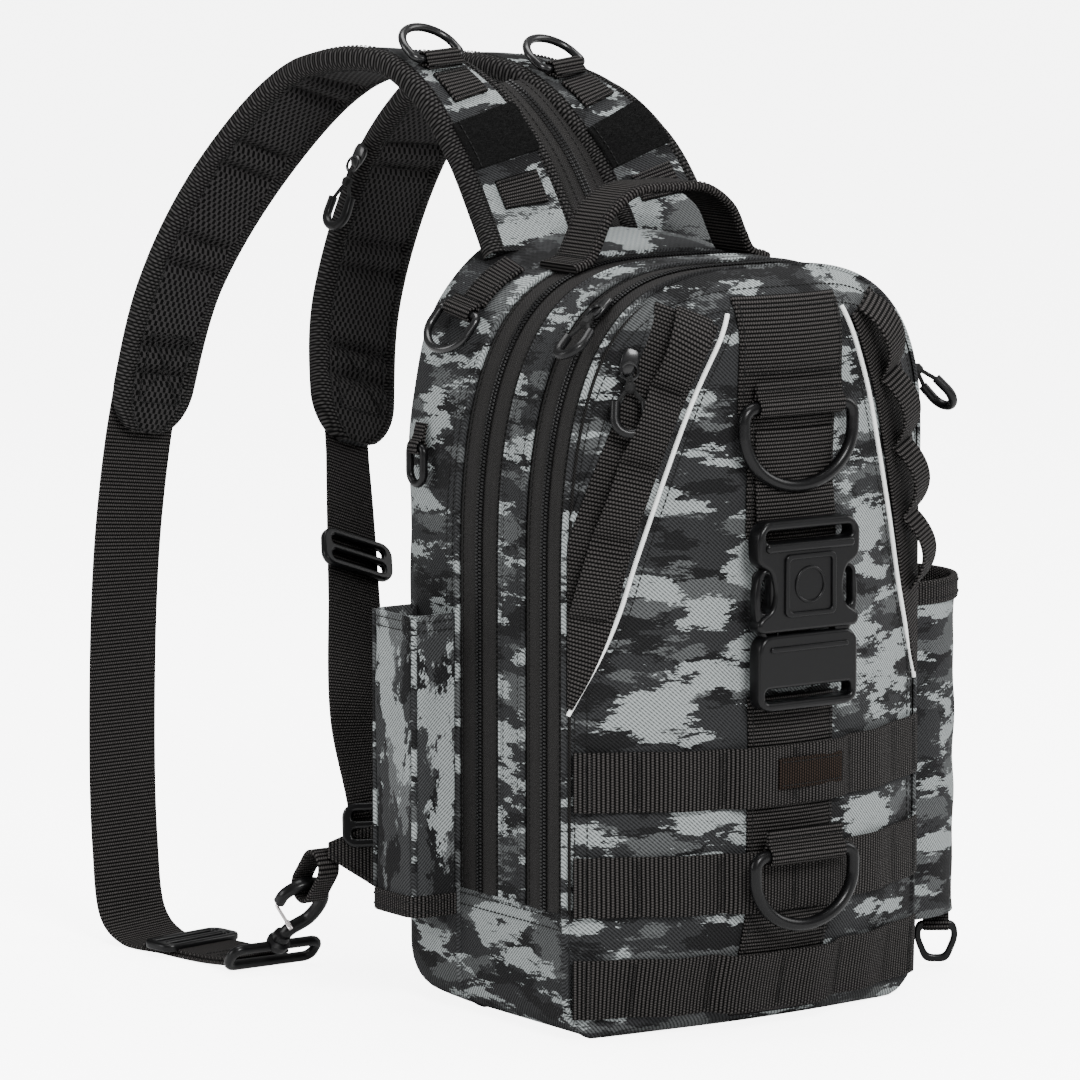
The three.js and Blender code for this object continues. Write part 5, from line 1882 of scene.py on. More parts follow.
    def slanted(self, hand: int, end: str) -> None:
        """Makes one slanted web with its loops, piping and folded edge.

        Args:
            hand: -1 on the left, 1 on the right.
            end: Name of the side.
        """
        line = curve(self.v_route, 90) * [hand, 1]
        web = Bin()
        self.strip(web, line, self.v_width, self.lift + 0.3)
        self.looks.fit(web, f"v_web_{end}_strip", "webbing", f"v_web_{end}", Look.WEBBING)
        chain = curve(self.v_route[:5], 120) * [hand, 1] - [hand * self.daisy_shift, 0]
        base = self.lift + self.thick + 0.6
        loops = Bin()
        self.strip(
            loops, chain, self.daisy_width,
            lambda s, x: base + self.daisy_high * np.abs(np.sin(4 * math.pi * s)) ** 0.8)
        for share in (0.25, 0.5, 0.75):
            i = int(share * 119)
            at = chain[i]
            t = tangents(chain)[i]
            cross = np.array([t[1], -t[0]])
            for shift in (-0.9, 0.9):
                ends = at + t * shift - cross * 6.5, at + t * shift + cross * 6.5
                self.seam(loops, self.straight(*ends), base + self.thick + 0.2, 1.5)
        self.looks.web(loops, f"daisy_web_{end}_strip", f"daisy_web_{end}")
        trim = curve(self.piping, 90) * [hand, 1]
        pipe = Bin()
        pipe.tube(self.form.front(trim[:, 0], trim[:, 1], np.full(90, 0.7)), 1.2, 10)
        self.looks.fit(pipe, f"piping_{end}_cord", "reflective", f"piping_{end}", Look.REFLECTIVE)
        fold = curve(self.v_route[:5], 80) * [hand, 1] + [hand * 14.5, 0]
        fold = fold[np.abs(fold[:, 0]) < self.form.half_at(fold[:, 1]) - 3]
        edge = Bin()
        if len(fold) > 3:
            edge.tube(self.form.front(fold[:, 0], fold[:, 1], np.full(len(fold), 0.7)), 1.5, 8)
        inner = curve(self.piping, 80) * [hand, 1] + [-hand * 4.2, 0]
        self.seam(edge, inner, 0.1, 3.0)
        self.looks.fit(edge, f"v_fold_{end}", "camo", "", Look.CAMO, Look.THREAD)

    def tab(self) -> None:
        """Makes the bare sewn tab on the top row."""
        x, z = 8.0, self.rows[2]
        tab = Bin()
        over = self.row_lift(0.0, np.array(x)) + self.thick + 0.2
        self.strip(tab, self.straight((x - 19, z + 1), (x + 19, z + 1), 1.5), 15.0, float(over), thick=1.0)
        high = float(over) + 1.05
        for a, b in (((x - 17.5, z - 4.6), (x + 17.5, z - 4.6)), ((x - 17.5, z + 6.6), (x + 17.5, z + 6.6))):
            self.seam(tab, self.straight(a, b), high, 2.2)
        self.looks.fit(tab, "bare_tab", "webbing", "", Look.BROWN, Look.THREAD)


@dataclass
class Ring:
    """A ring on a folded web tab: the bar runs along x and the ring hangs along -z of its own frame."""

    node: str
    at: Points
    bar_axis: Points
    tail_axis: Points
    bar: float
    depth: float
    wire: float
    tab: float
    tail: float
    look: Look = Look.PLASTIC
    tab_axis: Optional[Points] = None

    def to_world(self, local: Points, tail: Optional[Points] = None) -> Points:
        """Takes points of the ring's frame to the part's frame.

        Args:
            local: Points of the ring's frame.
            tail: Tail direction, if not the ring's own.

        Returns:
            Points of the part's frame.
        """
        z = unit(self.tail_axis if tail is None else tail)
        x = unit(self.bar_axis)
        y = unit(np.cross(z, x))
        return self.at + local[..., :1] * x + local[..., 1:2] * y + local[..., 2:] * z

    def outline(self) -> Points:
        """The ring's middle line.

        Returns:
            Points of x and z.
        """
        radius = self.bar / 2 + self.wire
        corner = radius * 0.2
        centre = -max(self.depth - radius, radius * 0.35)
        turn = np.linspace(math.pi, 2 * math.pi, 33)
        arc = np.column_stack([radius * np.cos(turn), centre + radius * 0.85 * np.sin(turn)])
        bend = np.linspace(0, math.pi / 2, 6)
        left = np.column_stack([-radius + corner * (1 - np.sin(bend)), -corner * (1 - np.cos(bend))])
        return np.vstack([left, arc[1:-1], (left * [-1, 1])[::-1]])

    def build(self, looks: Wardrobe) -> None:
        """Makes the ring and its tab.

        Args:
            looks: The finishes.
        """
        ring = Bin()
        flat = self.outline()
        line = spaced(np.vstack([flat, flat[:1]]), 1.0)[:-1]
        loop = self.to_world(np.column_stack([line[:, 0], np.zeros(len(line)), line[:, 1]]))
        normal = unit(np.cross(unit(self.tail_axis), unit(self.bar_axis)))
        ring.sweep(Frames.flat(loop, normal, loop=True), self.wire * circle(14), loop=True)
        looks.fit(ring, f"{self.node}_body", "plastic", self.node, self.look, body=self.node)
        self.fold(looks)

    def fold(self, looks: Wardrobe) -> None:
        """Makes the tab: one web folded round the bar and sewn to itself.

        Args:
            looks: The finishes.
        """
        bend = self.wire + 1.1
        turn = np.linspace(math.radians(65), math.radians(-245), 26)
        arc = np.column_stack([bend * np.cos(turn), bend * np.sin(turn)])
        leg = np.array([[0.68, self.tail], [0.68, bend + 2.2]])
        path = np.vstack([leg, arc, (leg * [-1, 1])[::-1]])
        line = spaced(path, 0.8)
        local = np.column_stack([np.zeros(len(line)), line])
        world = self.to_world(local, self.tab_axis)
        frames = Frames.flat(world, self.bar_axis)
        swapped = Frames(frames.p, frames.along, frames.up, frames.side)
        tab = Bin()
        tab.sweep(swapped, strip_section(self.tab, -0.62, 0.62, 9, 0.6))
        reach = self.tab / 2 - 1.5
        seam = spread(np.linspace(-reach, reach, 20), -1.4, bend + 4)
        for face in (-1, 1):
            row = self.to_world(seam * [1, face, 1], self.tab_axis)
            out = self.to_world(np.array([[0.0, -face, 0.0]]), self.tab_axis)[0] - self.at
            tab.stitches(Frames.over(row, out), 2.2, 0.3, 1)
        looks.web(tab, f"{self.node}_fold", f"{self.node}_tab")


def joint_place(node: str) -> tuple[Points, Points]:
    """Where a ring's joint stands.

    Args:
        node: The ring's node, which is also its body.

    Returns:
        The pivot in millimetres and the axis.
    """
    for joint in frame["record"]["behaviour"]["joints"]:
        if joint["child"] == node:
            return np.array(joint["pos_m"]) / MM, np.array(joint["axis"], float)
    raise KeyError(node)


@dataclass
class Buckle:
    """The side-release buckle on the centre webbing."""

    form: BodyForm
    looks: Wardrobe
    z: float = 204.0
    width: float = 60.0
    height: float = 62.0
    thick: float = 11.0
    bar: float = 15.0
    lift: float = 4.4

    def build(self) -> None:
        """Makes the socket with its side windows and the prong half with its arms."""
        y = float(self.form.front_y(0.0, self.z)) - self.lift - self.thick / 2
        upright = placed((1, 0, 0), (0, 0, 1), (0, -1, 0), (0, y, self.z))
        plastic = self.looks[Look.PLASTIC]
        w, top, low = self.width / 2, self.height / 2, -self.height / 2
        split = low + self.height * 0.38
        right = np.array([[w - 2, split], [w, split + 3], [w - 1, split + 6.5], [w - 8.5, split + 11],
                          [w - 10, split + 20], [w - 8, split + 29], [w - 1, split + 33], [w, split + 37],
                          [w, top + 9], [w - 5, top + self.bar]])
        body = np.vstack([right, (right * [-1, 1])[::-1]])
        slot = rounded_loop(25.4, 2.9, 2.4) + [0, top + self.bar - 7.5]
        parts = [
            plate("socket", [rounded_path(body, 3), slot], self.thick - 1, 1.6, upright, plastic),
            plate("socket_rim", [rounded_loop(15, 15, 3), rounded_loop(12.6, 12.6, 2)], 2.4, 0.6,
                  upright @ Matrix.Translation((0, split + 22, self.thick / 2 - 0.4)), plastic),
            plate("socket_dish", [rounded_loop(9, 9, 8.9), rounded_loop(7.6, 7.6, 7.5)], 1.4, 0.5,
                  upright @ Matrix.Translation((0, split + 22, self.thick / 2 - 0.5)), plastic),
            plate("socket_lip", [rounded_loop(w - 4, 2.2, 2)], 3.2, 1.2,
                  upright @ Matrix.Translation((0, top + 2.2, self.thick / 2 - 0.7)), plastic),
        ]
        hand_in(joined("buckle_socket_body", parts), ["buckle_socket"])
        end = low - self.bar
        foot = np.array([[-w + 1, end + 4], [-w + 6, end + 1], [w - 6, end + 1], [w - 1, end + 4],
                         [w - 1, split - 6], [w - 5, split - 1.2],
                         [-w + 5, split - 1.2], [-w + 1, split - 6]])
        slot = rounded_loop(25.4, 3.2, 2.4) + [0, end + 8.5]
        parts = [plate("prong", [rounded_path(foot, 3.5), slot], self.thick - 1.4, 1.6, upright, plastic)]
        for hand in (-1, 1):
            arm = np.array([[16, split - 4], [25, split - 4], [29.8, split + 7], [30.4, split + 18],
                            [28.6, split + 27], [23, split + 33], [17, split + 30], [17, split + 10]])
            arm = arm * [hand, 1]
            hole = rounded_loop(2.7, 9, 2.5) + [hand * 24.2, split + 19]
            parts.append(plate(f"arm{hand}", [rounded_path(arm, 4), hole], 6.4, 1.6, upright, plastic))
        parts.append(plate("prong_ridge", [rounded_loop(w - 7, 1.4, 1.2)], 2.2, 0.8,
                           upright @ Matrix.Translation((0, split - 8, self.thick / 2 - 0.8)), plastic))
        hand_in(joined("buckle_prong_body", parts), ["buckle_prong"])


def rounded_path(corners: Points, radius: float, steps: int = 5) -> Points:
    """Rounds the corners of a polygon.

    Args:
        corners: Its corners in order.
        radius: How far from each corner the rounding starts.
        steps: Steps in each corner.

    Returns:
        The rounded outline.
    """
    out = []
    n = len(corners)
    for k in range(n):
        p, before, after = corners[k], corners[k - 1], corners[(k + 1) % n]
        a = p + unit(before - p) * min(radius, np.linalg.norm(before - p) * 0.45)
        b = p + unit(after - p) * min(radius, np.linalg.norm(after - p) * 0.45)
        s = np.linspace(0, 1, steps)[:, None]
        out.append(a * (1 - s) ** 2 + 2 * p * s * (1 - s) + b * s**2)
    return np.vstack(out)


@dataclass
class Hardware:
    """The carry handle, the rings and what they hang on."""

    form: BodyForm
    looks: Wardrobe
    handle_y: float = -13.0
    handle_half: float = 43.0
    handle_width: float = 30.0
    handle_thick: float = 4.5
    handle_seat: float = 1.8
    handle_rows: tuple[tuple[float, float], ...] = ((-15, 0), (-5, 0.6), (0, 8), (7, 20), (22, 29), (43, 30))
    web_start: tuple[float, float] = (-64, 14)
    web_end: tuple[float, float] = (-85, 18)
    tie_lean: float = 0.26
    base_outline: Rows = ((-9.6, 1.9), (9.6, 1.9), (11.4, -6), (6.2, -19.2), (-6.2, -19.2), (-11.4, -6))
    base_hole: Rows = ((-7.4, -2.3), (7.4, -2.3), (7.8, -6.4), (4.0, -15.6), (-4.0, -15.6), (-7.8, -6.4))

    def build(self) -> None:
        """Makes the handle, the shoulder web and every ring."""
        self.handle()
        self.shoulder_web()
        x, z = np.array([1.0, 0, 0]), np.array([0, 0, 1.0])
        rows = (
            ("d_ring_upper", x, z, 58, 40, 3.1, 50, 12, Look.PLASTIC),
            ("d_ring_lower", x, z, 52, 38, 3.1, 44, 12, Look.PLASTIC),
            ("d_ring_shoulder", None, np.array([0.5901, -0.1125, 0.7995]), 25, 24, 2.1, 20, 7, Look.METAL),
            ("strap_ring_outer", None, np.array([0.2116, -0.735, -0.6443]), 30, 24, 2.1, 25, 6, Look.METAL),
            ("strap_ring_inner", None, np.array([0.301, -0.7402, -0.6013]), 30, 24, 2.1, 25, 6, Look.METAL),
        )
        for node, bar_axis, tail, bar, depth, wire, tab, reach, look in rows:
            at, axis = joint_place(node)
            across = axis if bar_axis is None else bar_axis
            Ring(node, at, across, tail, bar, depth, wire, tab, reach, look).build(self.looks)
        self.base_ring()
        self.rod_tie()

    def handle(self) -> None:
        """Makes the carry handle of doubled webbing."""
        left = [(a - self.handle_half, lift) for a, lift in self.handle_rows]
        whole = left + [(-x, lift) for x, lift in left[-2::-1]]
        base = self.handle_thick / 2 + self.handle_seat - 1.4
        points = [(x, self.handle_y, self.form.top_z(x, self.handle_y) + base + lift) for x, lift in whole]
        line = curve(points, 110)
        along = tangents(line)
        side = np.tile([0.0, 1.0, 0.0], (len(line), 1))
        frames = Frames(line, along, side, np.column_stack([-along[:, 2], 0 * along[:, 0], along[:, 0]]))
        half = self.handle_thick / 2
        band = Bin()
        band.sweep(frames, strip_section(self.handle_width, -half, half, 13, 1.6))
        for across in (-11.5, 11.5):
            band.stitches(frames.lifted(half, across), 2.8, mark=1)
        for k in (3, 10, 99, 106):
            band.tack(frames, k, 13, 20, half)
        self.looks.web(band, "carry_handle_band", "carry_handle")

    def shoulder_web(self) -> None:
        """Makes the short web that leads over the top to the shoulder ring."""
        share = np.linspace(0, 1, 40)
        plan = [np.interp(share, [0, 1], [a, b]) for a, b in zip(self.web_start, self.web_end)]
        p = np.array([(x, y, self.form.top_z(x, y)) for x, y in zip(*plan)])
        along = tangents(p)
        top = self.form.top_z
        slope = np.array([
            (top(x - 1, y) - top(x + 1, y), top(x, y - 1) - top(x, y + 1), 2) for x, y in zip(*plan)])
        up = unit(slope - along * np.sum(slope * along, axis=1, keepdims=True))
        frames = Frames(p, along, np.cross(along, up), up)
        web = Bin()
        web.sweep(frames, strip_section(18, 0.2, 2.4, 9))
        for across in (-7, 7):
            web.stitches(frames.lifted(2.4, across), 2.6, mark=1)
        self.looks.web(web, "shoulder_web_strip", "shoulder_web")

    def base_ring(self) -> None:
        """Makes the flat triangular ring under the bottle pocket."""
        at, _ = joint_place("base_ring")
        bar = np.array([0.8192, -0.5736, 0.0])
        ring = Ring("base_ring", at, bar, np.array([0, 0, 1.0]), 20, 18, 1.7, 13, 6.6)
        outline = rounded_path(np.array(self.base_outline), 4)
        hole = rounded_path(np.array(self.base_hole), 3)
        place = placed(bar, (0, 0, 1), np.cross(bar, (0, 0, 1)), at)
        made = plate("base_ring_body", [outline, hole], 3.4, 0.9, place, self.looks[Look.PLASTIC])
        hand_in(made, ["base_ring"], "base_ring")
        ring.fold(self.looks)

    def rod_tie(self) -> None:
        """Makes the long ring on the left side, over the sleeve."""
        at, _ = joint_place("rod_tie_ring")
        half, drop, wire = 6.0, 24.0, 2.0
        turn = np.linspace(math.pi, 2 * math.pi, 15)
        low = np.column_stack([half * np.cos(turn), 0 * turn, -(drop - 2 * half) + half * np.sin(turn)])
        bend = np.linspace(0, math.pi / 2, 5)
        right = np.column_stack([half - 2.5 + 2.5 * np.cos(bend), 0 * bend, -2.5 + 2.5 * np.sin(bend)])
        path = np.vstack([low, right, (right * [-1, 1, 1])[::-1]])
        bar, up = np.array([0, -1.0, 0]), np.array([0, 0, 1.0])
        lean = np.array([self.tie_lean, 0, 1.0])
        ring = Ring("rod_tie_ring", at, bar, up, 12, 24, wire, 8, 12, tab_axis=lean)
        line = ring.to_world(spaced(np.vstack([path, path[:1]]), 1.0)[:-1])
        body = Bin()
        body.tube(line, wire, 12, loop=True)
        self.looks.fit(body, f"{ring.node}_body", "plastic", ring.node, Look.PLASTIC, body=ring.node)
        ring.node = "rod_tie"
        ring.fold(self.looks)


@dataclass
class Straps:
    """The two padded straps, with what is sewn on them."""

    looks: Wardrobe
    pad: float = 11.0
    seam: float = 12.4
    binding: float = 8.0
    spine: Rows = (
        (0, 24, 352, 57, 0, 0), (0, 44, 384, 57, 0, 0), (-7, 58, 412, 55, 0, 2), (-18, 78, 437, 52, 0, 5),
        (-27, 106, 450, 50, 0, 6))
    outer: Rows = (
        (-76, 158, 445, 52, -6, 4), (-97, 202, 400, 51, -6, 0), (-120, 230, 338, 47, -2, 0),
        (-134, 244, 262, 45, 0, 0))
    inner: Rows = (
        (8, 158, 444, 52, 0, 3), (2, 208, 402, 55, 2, 0), (-14, 230, 322, 56, 8, 0),
        (-30, 210, 252, 54, 16, 0))
    count: int = 260
    start: float = 0.045
    groove_every: float = 58.0
    groove_first: float = 120.0
    groove_gap: float = 15.0
    groove_deep: float = 4.4
    box_ends: tuple[float, float] = (52.0, 17.0)

    def build(self) -> None:
        """Makes both pads, their patches and the zip between them."""
        for name, hand, tail in (("outer", -1, self.outer), ("inner", 1, self.inner)):
            self.strap(name, hand, tail)
        self.zip()

    def rows_of(self, hand: int, tail: Rows) -> Points:
        """One strap's route.

        Args:
            hand: -1 for the outer strap, 1 for the inner.
            tail: Rows of its own after the shared spine.

        Returns:
            Rows of place, width, yaw and tilt.
        """
        spine = np.array(self.spine, float)
        tilt = np.radians(spine[:, 5])
        shift = hand * (self.seam + spine[:, 3] / 2)
        spine[:, 0] += shift * np.cos(tilt)
        spine[:, 2] -= shift * np.sin(tilt)
        return np.vstack([spine, np.array(tail, float)])

    def strap(self, name: str, hand: int, tail: Rows) -> None:
        """Makes one padded strap.

        Args:
            name: Which strap.
            hand: -1 for the outer strap, 1 for the inner.
            tail: Its own rows.
        """
        rows = self.rows_of(hand, tail)
        route = rows[:, PLACE]
        frames = Frames.route(route, self.count, self.start)
        share = np.linspace(self.start, 1, self.count)
        width = np.interp(share * (len(rows) - 1), np.arange(len(rows)), rows[:, 3])
        far = travelled(frames.p)
        left = np.clip((far[-1] - far) / 24, 0, 1)
        half = width / 2 * (0.30 + 0.70 * np.sqrt(1 - (1 - left) ** 2))
        thick = self.pad / 2 * (0.55 + 0.45 * np.sqrt(1 - (1 - left) ** 2))
        flat = np.linspace(-1, 1, 17)
        turn = np.linspace(math.pi / 2, -math.pi / 2, 11)[1:-1]
        reach = np.maximum(half - self.binding, 1)[:, None]
        crown = 0.8 * (1 - flat**2)
        over = np.stack([flat[None] * reach, thick[:, None] + crown[None]], -1)
        lip = (thick[:, None] + 0.5) * np.sign(np.sin(turn)) * np.abs(np.sin(turn)) ** 0.8
        edge = np.stack([reach + self.binding * np.cos(turn) ** 0.7, lip], -1)
        grooves = self.grooves(far)
        fade = np.sqrt(1 - flat**2 * 0.6)
        sunk = -thick[:, None] - crown[None] + grooves[:, None] * fade[None]
        under = np.stack([flat[::-1][None] * reach, sunk], -1)
        section = np.concatenate([over, edge, under, edge[:, ::-1] * [-1, 1]], axis=1)
        marks = np.concatenate([np.zeros(16), np.ones(10), np.full(16, 2), np.ones(10)]).astype(int)
        body = Bin()
        body.sweep(frames, section, mark=marks)
        for face in (1, -1):
            for way in (1, -1):
                out = frames.up * (face * (thick[:, None] + 0.55))
                line = frames.p + frames.side * (way * (reach + 1.4)) + out
                body.stitches(Frames(line, frames.along, frames.side, frames.up * face), 3.0, mark=3)
        here = grooves[1:-1]
        for k in np.flatnonzero((here > 2.1) & (here >= grooves[:-2]) & (here >= grooves[2:])) + 1:
            body.tack(frames, k, reach[k, 0] * 0.96, 24, 3.2 - thick[k], 3.0, 3)
        first, last = np.searchsorted(far, far[-1] - np.array(self.box_ends))
        box = [(first, -0.8), (first, 0.8), (last, 0.8), (last, -0.8)]
        for (k0, a0), (k1, a1) in zip(box + [box[0], box[1]], box[1:] + [box[0], box[2], box[3]]):
            k = np.linspace(k0, k1, 24).astype(int)
            across = frames.side[k] * (np.linspace(a0, a1, 24)[:, None] * reach[k])
            line = frames.p[k] + across - frames.up[k] * (thick[k] + 0.9)[:, None]
            body.stitches(Frames.over(line, -frames.up[k]), 3.0, 0.45, 3)
        looks = Look.CAMO, Look.BINDING, Look.MESH, Look.THREAD
        made = self.looks.fit(body, f"strap_pad_{name}_body", "mesh", f"strap_pad_{name}", *looks)
        self.sewn(name, route)

    def grooves(self, far: Points) -> Points:
        """Depth of the paired channels across the underside.

        Args:
            far: Length along the strap.

        Returns:
            Depths.
        """
        depth = np.zeros_like(far)
        for first in np.arange(self.groove_first, far[-1] - 40, self.groove_every):
            for at in (first, first + self.groove_gap):
                depth = np.maximum(depth, self.groove_deep * np.exp(-((far - at) ** 2) / 12))
        return depth

    def sewn(self, name: str, route: Points) -> None:
        """Makes the pile patch, the loop and the ring band on a strap.

        Args:
            name: Which strap.
            route: The strap's route.
        """
        top = self.pad / 2 + 0.75
        for part, first, last, width, high in (
            ("strap_loop", 4, 6, 26, 2.4), ("ring_band", 11, 13, 24, 2.2)):
            frames = Frames.route(route, 40, first / 32, last / 32)
            web = Bin()
            web.sweep(frames, strip_section(width, top, top + high, 11))
            for k in (3, 36):
                web.tack(frames, k, 11, 16, top + high)
            self.looks.web(web, f"{part}_{name}_web", f"{part}_{name}")
        frames = Frames.route(route, 74, 7 / 32, 10 / 32)
        rng = np.random.default_rng(7)
        a = np.linspace(-21, 21, 62)
        a = np.concatenate([a[:1], a, a[-1:]])
        fuzz = top + 1.5 + rng.normal(0, 0.42, (74, 64))
        fuzz[:, [0, -1]] = top - 0.3
        fuzz[[0, -1]] = top - 0.3
        section = np.stack([np.broadcast_to(a, (74, 64)) + rng.normal(0, 0.18, (74, 64)), fuzz], -1)
        pile = Bin()
        pile.grid(frames.sweep(section))
        pile.stitches(frames.lifted(top + 2.0, -18), 3.0, mark=1)
        node = f"pile_patch_{name}"
        self.looks.fit(pile, f"{node}_loops", "pile", node, Look.PILE, Look.THREAD, sharp=180)

    def zip(self) -> None:
        """Makes the zip tape that joins the straps, with its slider."""
        route = np.array(self.spine, float)[:, PLACE]
        frames = Frames.route(route, 120, 0.10, 13 / 16)
        tape = Bin()
        tape.sweep(frames, strip_section(25.4, 1.5, 3.6, 15))
        outline = rounded_loop(1.2, 0.6, 0.5, 2)
        line = spaced(frames.p, 1.75)
        fine = Frames.aimed(line, tangents(line), np.tile(frames.side[60], (len(line), 1)))
        for hand in (-1, 1):
            tape.bits(fine.lifted(3.8, hand * 1.3), outline, TOOTH, 1)
        for across in (-7.4, 7.4):
            tape.stitches(frames.lifted(3.6, across), 3.0, mark=2)
        self.looks.fit(tape, "strap_zip_tape", "zip", "strap_zip", Look.TAPE, Look.RUBBER, Look.THREAD)
        inner = self.rows_of(1, self.inner)[:, PLACE]
        edge = Frames.route(inner, 201).part(152, 153).lifted(-2, -27.4)
        ZipPull("zip_pull_strap", edge.p[0], edge.along[0], -edge.side[0], lean=0.3).build(self.looks)


@dataclass
class StrapTails:
    """Webbing, glides, the snap hook and the wing at the lower ends of the straps."""

    looks: Wardrobe
    thick: float = 2.2
    outer: Rows = (
        (-129.6, 247.2, 287, 0, 0), (-134.6, 249.7, 254, 0, 0), (-140, 252, 200, 0, 0),
        (-141, 256, 120, 0, 0), (-140, 256, 50, 0, 0), (-139, 250, 13, 0, 0), (-137, 236, 3.2, 0, 0),
        (-131, 205, 1.7, 0, 0), (-126.5, 174, 1.7, 0, 0), (-126, 146.8, 4.4, 0, 0))
    inner: Rows = (
        (-25.6, 225.5, 277, 14, 0), (-33.2, 209.5, 243, 16, 0), (-60, 163, 176, 4, 0),
        (-86, 119, 126, -22, 0), (-102.4, 77.2, 86, -42, 0), (-104.7, 74.6, 58, -45.6, 0))
    hook_at: tuple[float, float, float] = (-125, 140, 9)
    hook_pitch: float = 50.0
    gate: tuple[tuple[float, float], tuple[float, float]] = ((0.9, 21.3), (-12.6, 37.6))
    gate_bow: float = 1.5
    anchor_loop: tuple[float, float, float, float] = (1.0, 52.0, 6.6, 14.0)
    jaw: Rows = ((0, 7), (2, 17), (11, 26), (13, 40), (7, 51), (-4, 53), (-12, 47), (-13, 41))
    wing: tuple[float, float, float, float] = (-90, 55, 36, 96)

    def build(self) -> None:
        """Makes both tails, the hook with its gate, the anchor loop and the wing."""
        self.web("outer", self.outer, 39, 0.7778)
        self.web("inner", self.inner, 30, 0.335)
        inner = Frames.route(self.inner, 61)
        self.glide("ladder_lock", inner.part(50, 51), 24, None)
        self.hook()
        self.anchor()

    def web(self, name: str, rows: Rows, width: float, glide: float) -> None:
        """Makes one length of strap webbing with its glide.

        Args:
            name: Which strap.
            rows: Its route.
            width: Its width.
            glide: Share of the route where the glide sits.
        """
        half = self.thick / 2
        frames = Frames.route(rows, 240)
        web = Bin()
        web.sweep(frames, strip_section(width, -half, half, 15))
        if name == "outer":
            web.sweep(frames.part(172, 234).lifted(-2.3), strip_section(width - 0.6, -1, 1, 15))
            for k in (212, 222, 226):
                web.tack(frames, k, 17, 30, -3.4)
        self.looks.web(web, f"strap_web_{name}_strip", f"strap_web_{name}")
        k = int(glide * 239)
        self.glide(f"glide_{name}_body", frames.part(k, k + 1), width, f"glide_{name}")

    def glide(self, name: str, at: Frames, width: float, node: Optional[str]) -> None:
        """Makes a three-bar glide on webbing.

        Args:
            name: Name of the piece.
            at: One frame of the webbing.
            width: The webbing's width.
            node: The CAD node that it replaces, if any.
        """
        outline = rounded_loop(width / 2 + 6, 11, 7)
        slots = [rounded_loop(width / 2 + 0.6, 2.5, 2) + [0, hand * 4.4] for hand in (-1, 1)]
        spot = at.p[0] - at.up[0] * (self.thick / 2 + 2.9)
        place = placed(at.side[0], at.along[0], np.cross(at.side[0], at.along[0]), spot)
        made = plate(name, [outline, *slots], 4.0, 1.3, place, self.looks[Look.PLASTIC])
        hand_in(made, [node] if node else [])

    def hook_points(self, flat: Points, out: float = 0.0) -> Points:
        """Takes the hook's own u and v to the part's frame.

        Args:
            flat: Points of u and v.
            out: Distance off the hook's plane.

        Returns:
            Points in space.
        """
        pitch = math.radians(self.hook_pitch)
        tail = np.array([0, -math.cos(pitch), math.sin(pitch)])
        normal = np.cross(tail, (1.0, 0, 0))
        flat = np.asarray(flat, float)
        return np.array(self.hook_at) + flat[:, :1] * [1.0, 0, 0] + flat[:, 1:] * tail + normal * out

    def hook(self) -> None:
        """Makes the snap hook and, on its own body, the wire gate."""
        pitch = math.radians(self.hook_pitch)
        normal = np.cross((0, -math.cos(pitch), math.sin(pitch)), (1.0, 0, 0))
        body = Bin()
        loop = rounded_loop(25, 6, 4.5)
        body.tube(self.hook_points(spaced(np.vstack([loop, loop[:1]]), 1.2)[:-1]), 2.6, 12, loop=True)
        knob = self.hook_points(np.array([(0, v) for v in (5.5, 7, 9.5, 11, 12.5, 15)]))
        body.tube(knob, np.array([5.4, 6.0, 6.0, 4.2, 4.8, 4.2]), 16)
        line = spaced(curve(np.array(self.jaw), 120), 0.9)
        share = np.linspace(0, 1, len(line))
        oval = np.sign(circle(16)) * np.abs(circle(16)) ** 0.7
        size = np.stack([3.1 - 0.6 * share, 3.4 - 0.5 * share], 1)
        body.sweep(Frames.flat(self.hook_points(line), normal), oval[None] * size[:, None])
        self.looks.fit(body, "snap_hook_body", "plastic", "snap_hook", Look.PLASTIC)
        foot, head = np.array(self.gate)
        wire = Bin()
        bend = np.linspace(-math.pi / 2, math.pi / 2, 9)
        along = unit(head - foot)
        bow = self.gate_bow
        tip = np.vstack([
            self.hook_points((head - along * bow + along * bow * math.cos(a))[None], bow * math.sin(a))
            for a in bend])
        path = np.vstack([self.hook_points(foot[None], -bow), tip, self.hook_points(foot[None], bow)])
        wire.tube(spaced(path, 1.0), 0.8, 8)
        wire.tube(np.vstack([self.hook_points(foot[None], o) for o in (-2.4, 0, 2.4)]), 1.3, 8)
        self.looks.fit(wire, "hook_gate_wire", "steel", "hook_gate", Look.STEEL, body="hook_gate")

